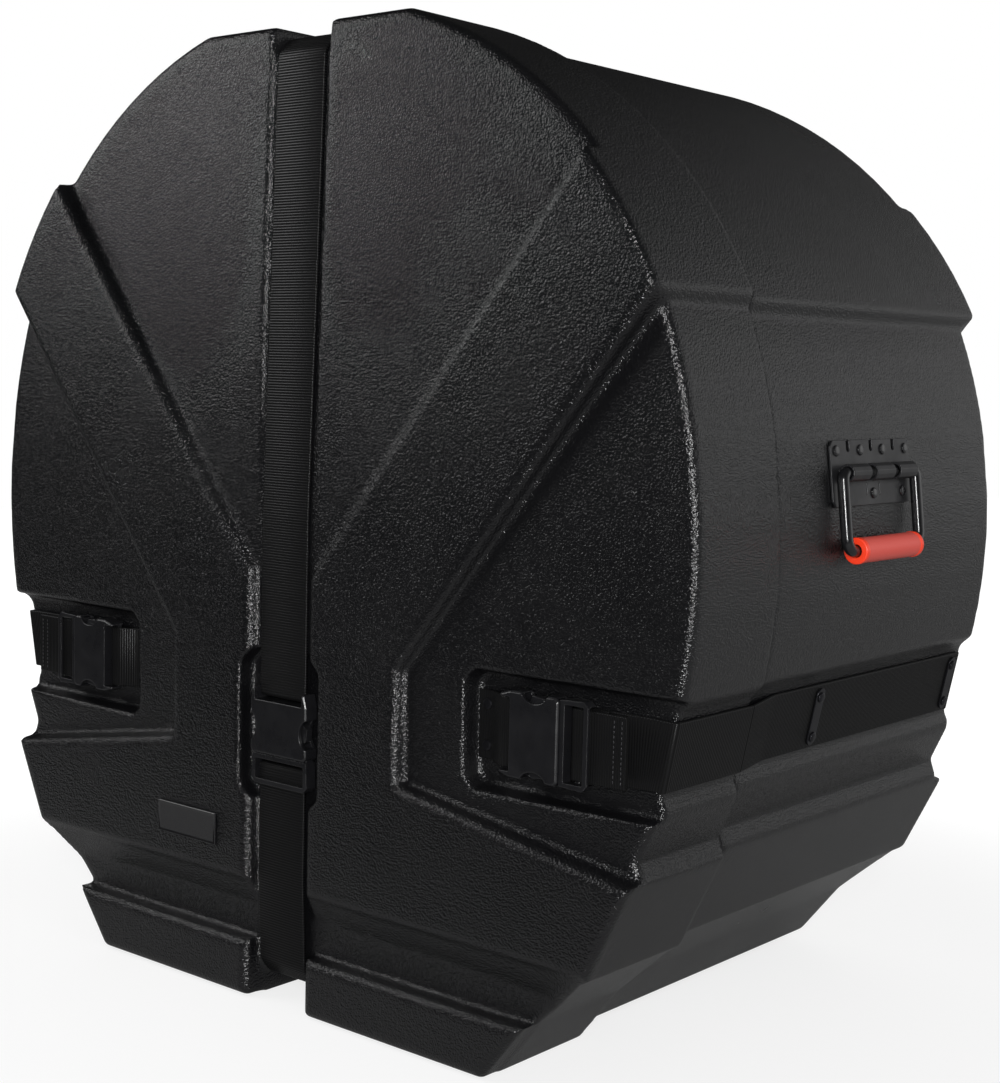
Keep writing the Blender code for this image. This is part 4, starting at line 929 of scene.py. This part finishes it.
@dataclass
class Handle:
    """A chest handle: pressed plate with rolled barrel, bail, rubber grip and collars.

    Its sizes are in mm. On the plate, u runs down, v across and w out from its seat.
    """

    side: Side
    seat: tuple[float, float, float] = (364.76, 17.95, 433.04)
    down: tuple[float, float, float] = (0.12225, 0.0, -0.9925)
    out: tuple[float, float, float] = (0.9925, 0.0, 0.12225)
    axis_up: float = 8.0
    drop: float = 56.0
    half: float = 54.5
    turn: float = 5.6
    bend: float = 10.0
    rod: float = 4.4
    grip_half: float = 43.5
    grip_radius: float = 9.5
    slit_across: float = 9.4
    slit_half: float = 0.55
    slit_span: tuple[float, float] = (7.6, 16.8)
    slit_depth: tuple[float, float] = (-2.0, 5.0)
    plate_voxel: float = 0.36
    plate_rounds: int = 3
    plate_keep: float = 0.25
    rivet_edge: float = 0.35
    root: float = 32.5
    arc_steps: int = 8
    rod_crease: float = 50.0
    grip_under: float = 0.15
    collar_inset: float = 2.4
    collar_half: float = 2.6
    collar_proud: float = 0.25
    bore_gap: float = 0.2
    rim: float = 1.1
    rim_faces: int = 3

    def at(self, u: float, v: float, w: float) -> Vector:
        """Finds a point of the handle.

        Args:
            u: how far down the plate, in mm.
            v: how far across it.
            w: how far out of it.

        Returns:
            The point in metres.
        """
        point = Vector(self.seat) + Vector(self.down) * u + Vector(self.out) * w
        point.y += v
        point.x *= self.side.value
        return point * MM

    def build(self) -> None:
        """Builds the handle's pieces."""
        tag = self.side.tag
        plate = Workshop.copy_node("handle_plate_" + tag, "handle_plate_pressed_" + tag)
        for across in (-self.slit_across, self.slit_across):
            corners = [self.at(u, v, w) for u in self.slit_span
                       for v in (across - self.slit_half, across + self.slit_half)
                       for w in self.slit_depth]
            Workshop.cut(plate, Workshop.block("slit", corners))
        Workshop.soften(plate, self.plate_voxel * MM, self.plate_rounds, self.plate_keep)
        dress(plate, SATIN, "base", "handle_steel", "handle_plate_" + tag)
        rivets = Workshop.copy_node("handle_rivets_" + tag, "handle_rivets_domed_" + tag)
        Workshop.bevel(rivets, self.rivet_edge * MM)
        dress(rivets, POWDER, "base", "handle_steel", "handle_rivets_" + tag)
        dress(self.bail(), POWDER, "bail_" + tag, "handle_steel", "handle_bail_" + tag)
        dress(self.grip(), RUBBER, "bail_" + tag, "grip_rubber", "handle_grip_" + tag)
        for end in (-1, 1):
            collar = self.sleeve(f"grip_collar_{tag}_{'front' if end < 0 else 'rear'}",
                                 end * (self.grip_half - self.collar_inset),
                                 self.collar_half, self.grip_radius + self.collar_proud)
            dress(collar, RUBBER_END, "bail_" + tag, "grip_rubber")

    def bail(self) -> bpy.types.Object:
        """Bends the round steel rod.

        Returns:
            The bail.
        """
        angles = [math.pi / 2 * i / self.arc_steps for i in range(1, self.arc_steps)]
        points = [(0.0, self.root), (0.0, self.half - self.turn)]
        for a in angles:
            points.append((self.turn * (1 - math.cos(a)),
                           self.half - self.turn + self.turn * math.sin(a)))
        points += [(self.turn, self.half), (self.drop - self.bend, self.half)]
        for a in angles:
            points.append((self.drop - self.bend + self.bend * math.sin(a),
                           self.half - self.bend * (1 - math.cos(a))))
        points.append((self.drop, self.half - self.bend))
        points += [(u, -v) for u, v in reversed(points)]
        curve = bpy.data.curves.new("bail", "CURVE")
        curve.dimensions = "3D"
        curve.bevel_depth = self.rod * MM
        curve.bevel_resolution = 6
        curve.use_fill_caps = True
        spline = curve.splines.new("POLY")
        spline.points.add(len(points) - 1)
        for point, (u, v) in zip(spline.points, points):
            point.co = (*self.at(u, v, self.axis_up), 1)
        rod = bpy.data.objects.new("handle_bail_rod_" + self.side.tag, curve)
        bpy.context.scene.collection.objects.link(rod)
        Workshop.only(rod)
        bpy.ops.object.convert(target="MESH")
        rod = bpy.context.object
        bpy.ops.object.shade_smooth_by_angle(angle=math.radians(self.rod_crease))
        return rod

    def sleeve(self, name: str, middle: float, half: float, radius: float) -> bpy.types.Object:
        """A tube of rubber on the bail's lower bar, with rounded rims.

        Args:
            name: the piece's name.
            middle: its middle across the plate, in mm.
            half: half its length.
            radius: its outer radius.

        Returns:
            The sleeve.
        """
        bpy.ops.object.select_all(action="DESELECT")
        bpy.ops.mesh.primitive_cylinder_add(
            vertices=40, radius=radius * MM, depth=2 * half * MM,
            location=self.at(self.drop, middle, self.axis_up), rotation=(math.pi / 2, 0, 0))
        sleeve = bpy.context.object
        sleeve.name = name
        Workshop.pick(sleeve, lambda face: len(face.vertices) > 4)
        bpy.ops.mesh.inset(thickness=(radius - self.rod - self.bore_gap) * MM)
        bpy.ops.mesh.bridge_edge_loops()
        bpy.ops.object.mode_set(mode="OBJECT")
        bpy.ops.object.transform_apply(location=True, rotation=True, scale=True)
        Workshop.bevel(sleeve, self.rim * MM, self.rim_faces)
        return sleeve

    def grip(self) -> bpy.types.Object:
        """The rubber grip between its two collars."""
        return self.sleeve("handle_grip_sleeve_" + self.side.tag, 0.0, self.grip_half,
                           self.grip_radius - self.grip_under)


@dataclass
class Fasteners:
    """The steel keepers and rivets that hold the webbing."""

    edge: float = 0.35 * MM

    def build(self) -> None:
        """Replaces each keeper and rivet set."""
        nodes = {"centre_keeper": "base", "centre_keeper_rivets": "base"}
        for side in Side:
            for name in ("keeper_mid", "keeper_rear", "keeper_rivets_mid",
                         "keeper_rivets_rear"):
                nodes[f"{name}_{side.tag}"] = "base"
            nodes[f"stub_rivets_{side.tag}"] = "lid"
        for node, body in nodes.items():
            piece = Workshop.copy_node(node, node + "_steel")
            Workshop.bevel(piece, self.edge)
            dress(piece, ZINC, body, "keeper_steel", node)


@dataclass
class NamePlate:
    """The bare plate low on the lid, with a raised border."""

    border: float = 2.2 * MM
    sink: float = 0.5 * MM
    edge: float = 0.25 * MM
    facing: float = 0.9
    slack: float = 0.1 * MM

    def build(self) -> None:
        """Insets the plate's face and rounds its edges."""
        plate = Workshop.copy_node("name_plate", "name_plate_enamelled")
        front = min(vert.co.y for vert in plate.data.vertices)
        Workshop.pick(plate, lambda face: face.normal.y < -self.facing
                      and face.center.y < front + self.slack)
        bpy.ops.mesh.inset(thickness=self.border)
        bpy.ops.transform.translate(value=(0, self.sink, 0))
        bpy.ops.object.mode_set(mode="OBJECT")
        Workshop.bevel(plate, self.edge)
        dress(plate, ENAMEL, "lid", "plate", "name_plate")


@dataclass(frozen=True)
class Lamp:
    """A rectangular soft lamp: its place, aim and size in metres, and its power in watts."""

    name: str
    place: tuple[float, float, float]
    aim: tuple[float, float, float]
    width: float
    height: float
    power: float

    def hang(self) -> None:
        """Adds the lamp and turns it to what it aims at."""
        light = bpy.data.lights.new(self.name, "AREA")
        light.shape = "RECTANGLE"
        light.size = self.width
        light.size_y = self.height
        light.energy = self.power
        item = bpy.data.objects.new(self.name, light)
        item.location = self.place
        way = Vector(self.aim) - Vector(self.place)
        item.rotation_euler = way.to_track_quat("-Z", "Y").to_euler()
        bpy.context.scene.collection.objects.link(item)


@dataclass
class Studio:
    """The floor, the soft lamps, the world and the camera, in metres.

    Behind the case stands a pale backdrop: a side of the world, bright towards one
    direction and low down, that the shells' edges reflect. The camera sees plain white.
    """

    eye: tuple[float, float, float] = (1.0092, -1.17545, 0.5041)
    yaw: float = 39.90
    pitch: float = 5.55
    roll: float = -1.40
    focal_px: float = 1805.6
    frame_height_px: int = 1083
    sensor_mm: float = 36.0
    floor_front: float = -0.60
    floor_back: float = 6.0
    floor_half: float = 4.0
    floor_drop: float = 0.0006
    floor_colour: str = "#858585"
    floor_roughness: float = 0.9
    glow_near: float = 0.76
    glow_far: float = 1.0
    glow_from: float = 0.45
    glow_to: float = 1.1
    glossy_share: float = 0.15
    backdrop: tuple[float, float, float] = (0.55, 0.83, 0.0)
    backdrop_from: float = 0.35
    backdrop_full: float = 0.98
    backdrop_low: float = 0.25
    backdrop_high: float = 0.75
    backdrop_top: float = 0.08
    room_dim: float = 0.02
    room_bright: float = 0.5
    room_fill: float = 0.5
    lamps: tuple[Lamp, ...] = (
        Lamp("key", (-1.2, -1.0, 1.15), (-0.05, -0.2, 0.5), 0.8, 0.8, 7.5),
        Lamp("edge", (1.75, -2.0, 0.75), (0.3, -0.2, 0.4), 0.16, 1.3, 62),
        Lamp("side", (2.2, 2.2, 1.0), (0.35, 0.1, 0.4), 1.6, 1.2, 3.2),
        Lamp("back", (-2.2, 2.2, 0.6), (-0.2, 0.1, 0.4), 1.6, 1.0, 6))

    def build(self) -> None:
        """Sets up all of the studio."""
        self.world()
        self.floor()
        for lamp in self.lamps:
            lamp.hang()
        self.camera()
        bpy.context.scene.view_settings.view_transform = "Standard"

    def glow_share(self, tree: bpy.types.NodeTree) -> bpy.types.NodeSocket:
        """Works out how much of the floor's glow a ray sees.

        Args:
            tree: the floor's node tree.

        Returns:
            A socket: 1 for camera rays, a small share for glossy and transmission rays, so
            that the shells stay black, and 0 for the rest.
        """
        path = add_node(tree, "ShaderNodeLightPath").outputs
        gloss = add_node(tree, "ShaderNodeMath", {"operation": "MAXIMUM"}, {
            0: path["Is Glossy Ray"], 1: path["Is Transmission Ray"]})
        shiny = add_node(tree, "ShaderNodeMath", {
            "operation": "MULTIPLY", 1: self.glossy_share}, {0: gloss.outputs[0]})
        whole = add_node(tree, "ShaderNodeMath", {"operation": "MAXIMUM"}, {
            0: path["Is Camera Ray"], 1: shiny.outputs[0]})
        return whole.outputs[0]

    def world(self) -> None:
        """White for the camera, an even fill for diffuse rays and the backdrop for the rest."""
        world = bpy.data.worlds.new("studio")
        bpy.context.scene.world = world
        world.use_nodes = True
        tree = world.node_tree
        tree.nodes.clear()
        way = add_node(tree, "ShaderNodeTexCoord").outputs["Generated"]
        behind = add_node(tree, "ShaderNodeVectorMath", {
            "operation": "DOT_PRODUCT", 1: self.backdrop}, {0: way})
        near = add_node(tree, "ShaderNodeMapRange", {
            "interpolation_type": "SMOOTHSTEP", "From Min": self.backdrop_from,
            "From Max": self.backdrop_full}, {"Value": behind.outputs["Value"]})
        height = add_node(tree, "ShaderNodeSeparateXYZ", {}, {"Vector": way})
        low = add_node(tree, "ShaderNodeMapRange", {
            "interpolation_type": "SMOOTHSTEP", "From Min": self.backdrop_low,
            "From Max": self.backdrop_high, "To Min": 1.0, "To Max": self.backdrop_top},
            {"Value": height.outputs["Z"]})
        wall = add_node(tree, "ShaderNodeMath", {"operation": "MULTIPLY"},
                        {0: near.outputs["Result"], 1: low.outputs["Result"]})
        path = add_node(tree, "ShaderNodeLightPath").outputs
        strength = add_node(tree, "ShaderNodeMapRange", {
            "To Min": self.room_dim, "To Max": self.room_bright}, {"Value": wall.outputs[0]})
        soft = add_node(tree, "ShaderNodeMix", {"data_type": "FLOAT", 3: self.room_fill}, {
            0: path["Is Diffuse Ray"], 2: strength.outputs["Result"]})
        seen = add_node(tree, "ShaderNodeMath", {"operation": "MAXIMUM"}, {
            0: soft.outputs[0], 1: path["Is Camera Ray"]})
        back = add_node(tree, "ShaderNodeBackground", {"Color": linear("#ffffff")},
                        {"Strength": seen.outputs[0]})
        add_node(tree, "ShaderNodeOutputWorld", {}, {"Surface": back.outputs[0]})

    def floor(self) -> None:
        """A plain pale floor that keeps the case's shadow and glows white away from it."""
        bpy.ops.object.select_all(action="DESELECT")
        bpy.ops.mesh.primitive_plane_add(size=1)
        floor = bpy.context.object
        floor.name = "studio_floor"
        for vert in floor.data.vertices:
            vert.co.x *= 2 * self.floor_half
            vert.co.y = self.floor_front if vert.co.y < 0 else self.floor_back
            vert.co.z = -self.floor_drop
        paint = Finish("matt_floor_paint", self.floor_colour, self.floor_roughness)
        paint.put_on(floor)
        tree = paint.material().node_tree
        shader = next(n for n in tree.nodes if n.type == "BSDF_PRINCIPLED")
        out = next(n for n in tree.nodes if n.type == "OUTPUT_MATERIAL")
        glow = add_node(tree, "ShaderNodeEmission", {"Color": linear("#ffffff")})
        place = add_node(tree, "ShaderNodeTexCoord").outputs["Object"]
        away = add_node(tree, "ShaderNodeVectorMath", {"operation": "LENGTH"}, {0: place})
        level = add_node(tree, "ShaderNodeMapRange", {
            "interpolation_type": "SMOOTHSTEP", "From Min": self.glow_from,
            "From Max": self.glow_to, "To Min": self.glow_near, "To Max": self.glow_far},
            {"Value": away.outputs["Value"]})
        seen = add_node(tree, "ShaderNodeMath", {"operation": "MULTIPLY"}, {
            0: level.outputs["Result"], 1: self.glow_share(tree)})
        tree.links.new(seen.outputs[0], glow.inputs["Strength"])
        both = add_node(tree, "ShaderNodeAddShader", {}, {
            0: shader.outputs[0], 1: glow.outputs[0]})
        tree.links.new(both.outputs[0], out.inputs["Surface"])

    def camera(self) -> None:
        """Places the camera where the photograph was taken from."""
        yaw, pitch, roll = (math.radians(a) for a in (self.yaw, self.pitch, self.roll))
        ahead = Vector((-math.sin(yaw) * math.cos(pitch), math.cos(yaw) * math.cos(pitch),
                        -math.sin(pitch)))
        level = Vector((math.cos(yaw), math.sin(yaw), 0))
        down = ahead.cross(level)
        right = level * math.cos(roll) + down * math.sin(roll)
        up = level * math.sin(roll) - down * math.cos(roll)
        data = bpy.data.cameras.new("camera")
        data.sensor_fit = "VERTICAL"
        data.sensor_height = self.sensor_mm
        data.sensor_width = self.sensor_mm
        data.lens = self.focal_px * self.sensor_mm / self.frame_height_px
        item = bpy.data.objects.new("camera", data)
        item.matrix_world = Matrix((
            (right.x, up.x, -ahead.x, self.eye[0]),
            (right.y, up.y, -ahead.y, self.eye[1]),
            (right.z, up.z, -ahead.z, self.eye[2]),
            (0, 0, 0, 1)))
        bpy.context.scene.collection.objects.link(item)
        bpy.context.scene.camera = item


def main() -> None:
    """Builds the dressed case and its studio."""
    logging.basicConfig(level=logging.INFO)
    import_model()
    Studio().build()
    Shells().build()
    Lining().build()
    CentreStrap().build()
    for side in Side:
        SideStrap(side).build()
        Stitching(side).build()
        Handle(side).build()
    Buckles().build()
    Fasteners().build()
    NamePlate().build()


if __name__ == "__main__":
    main()
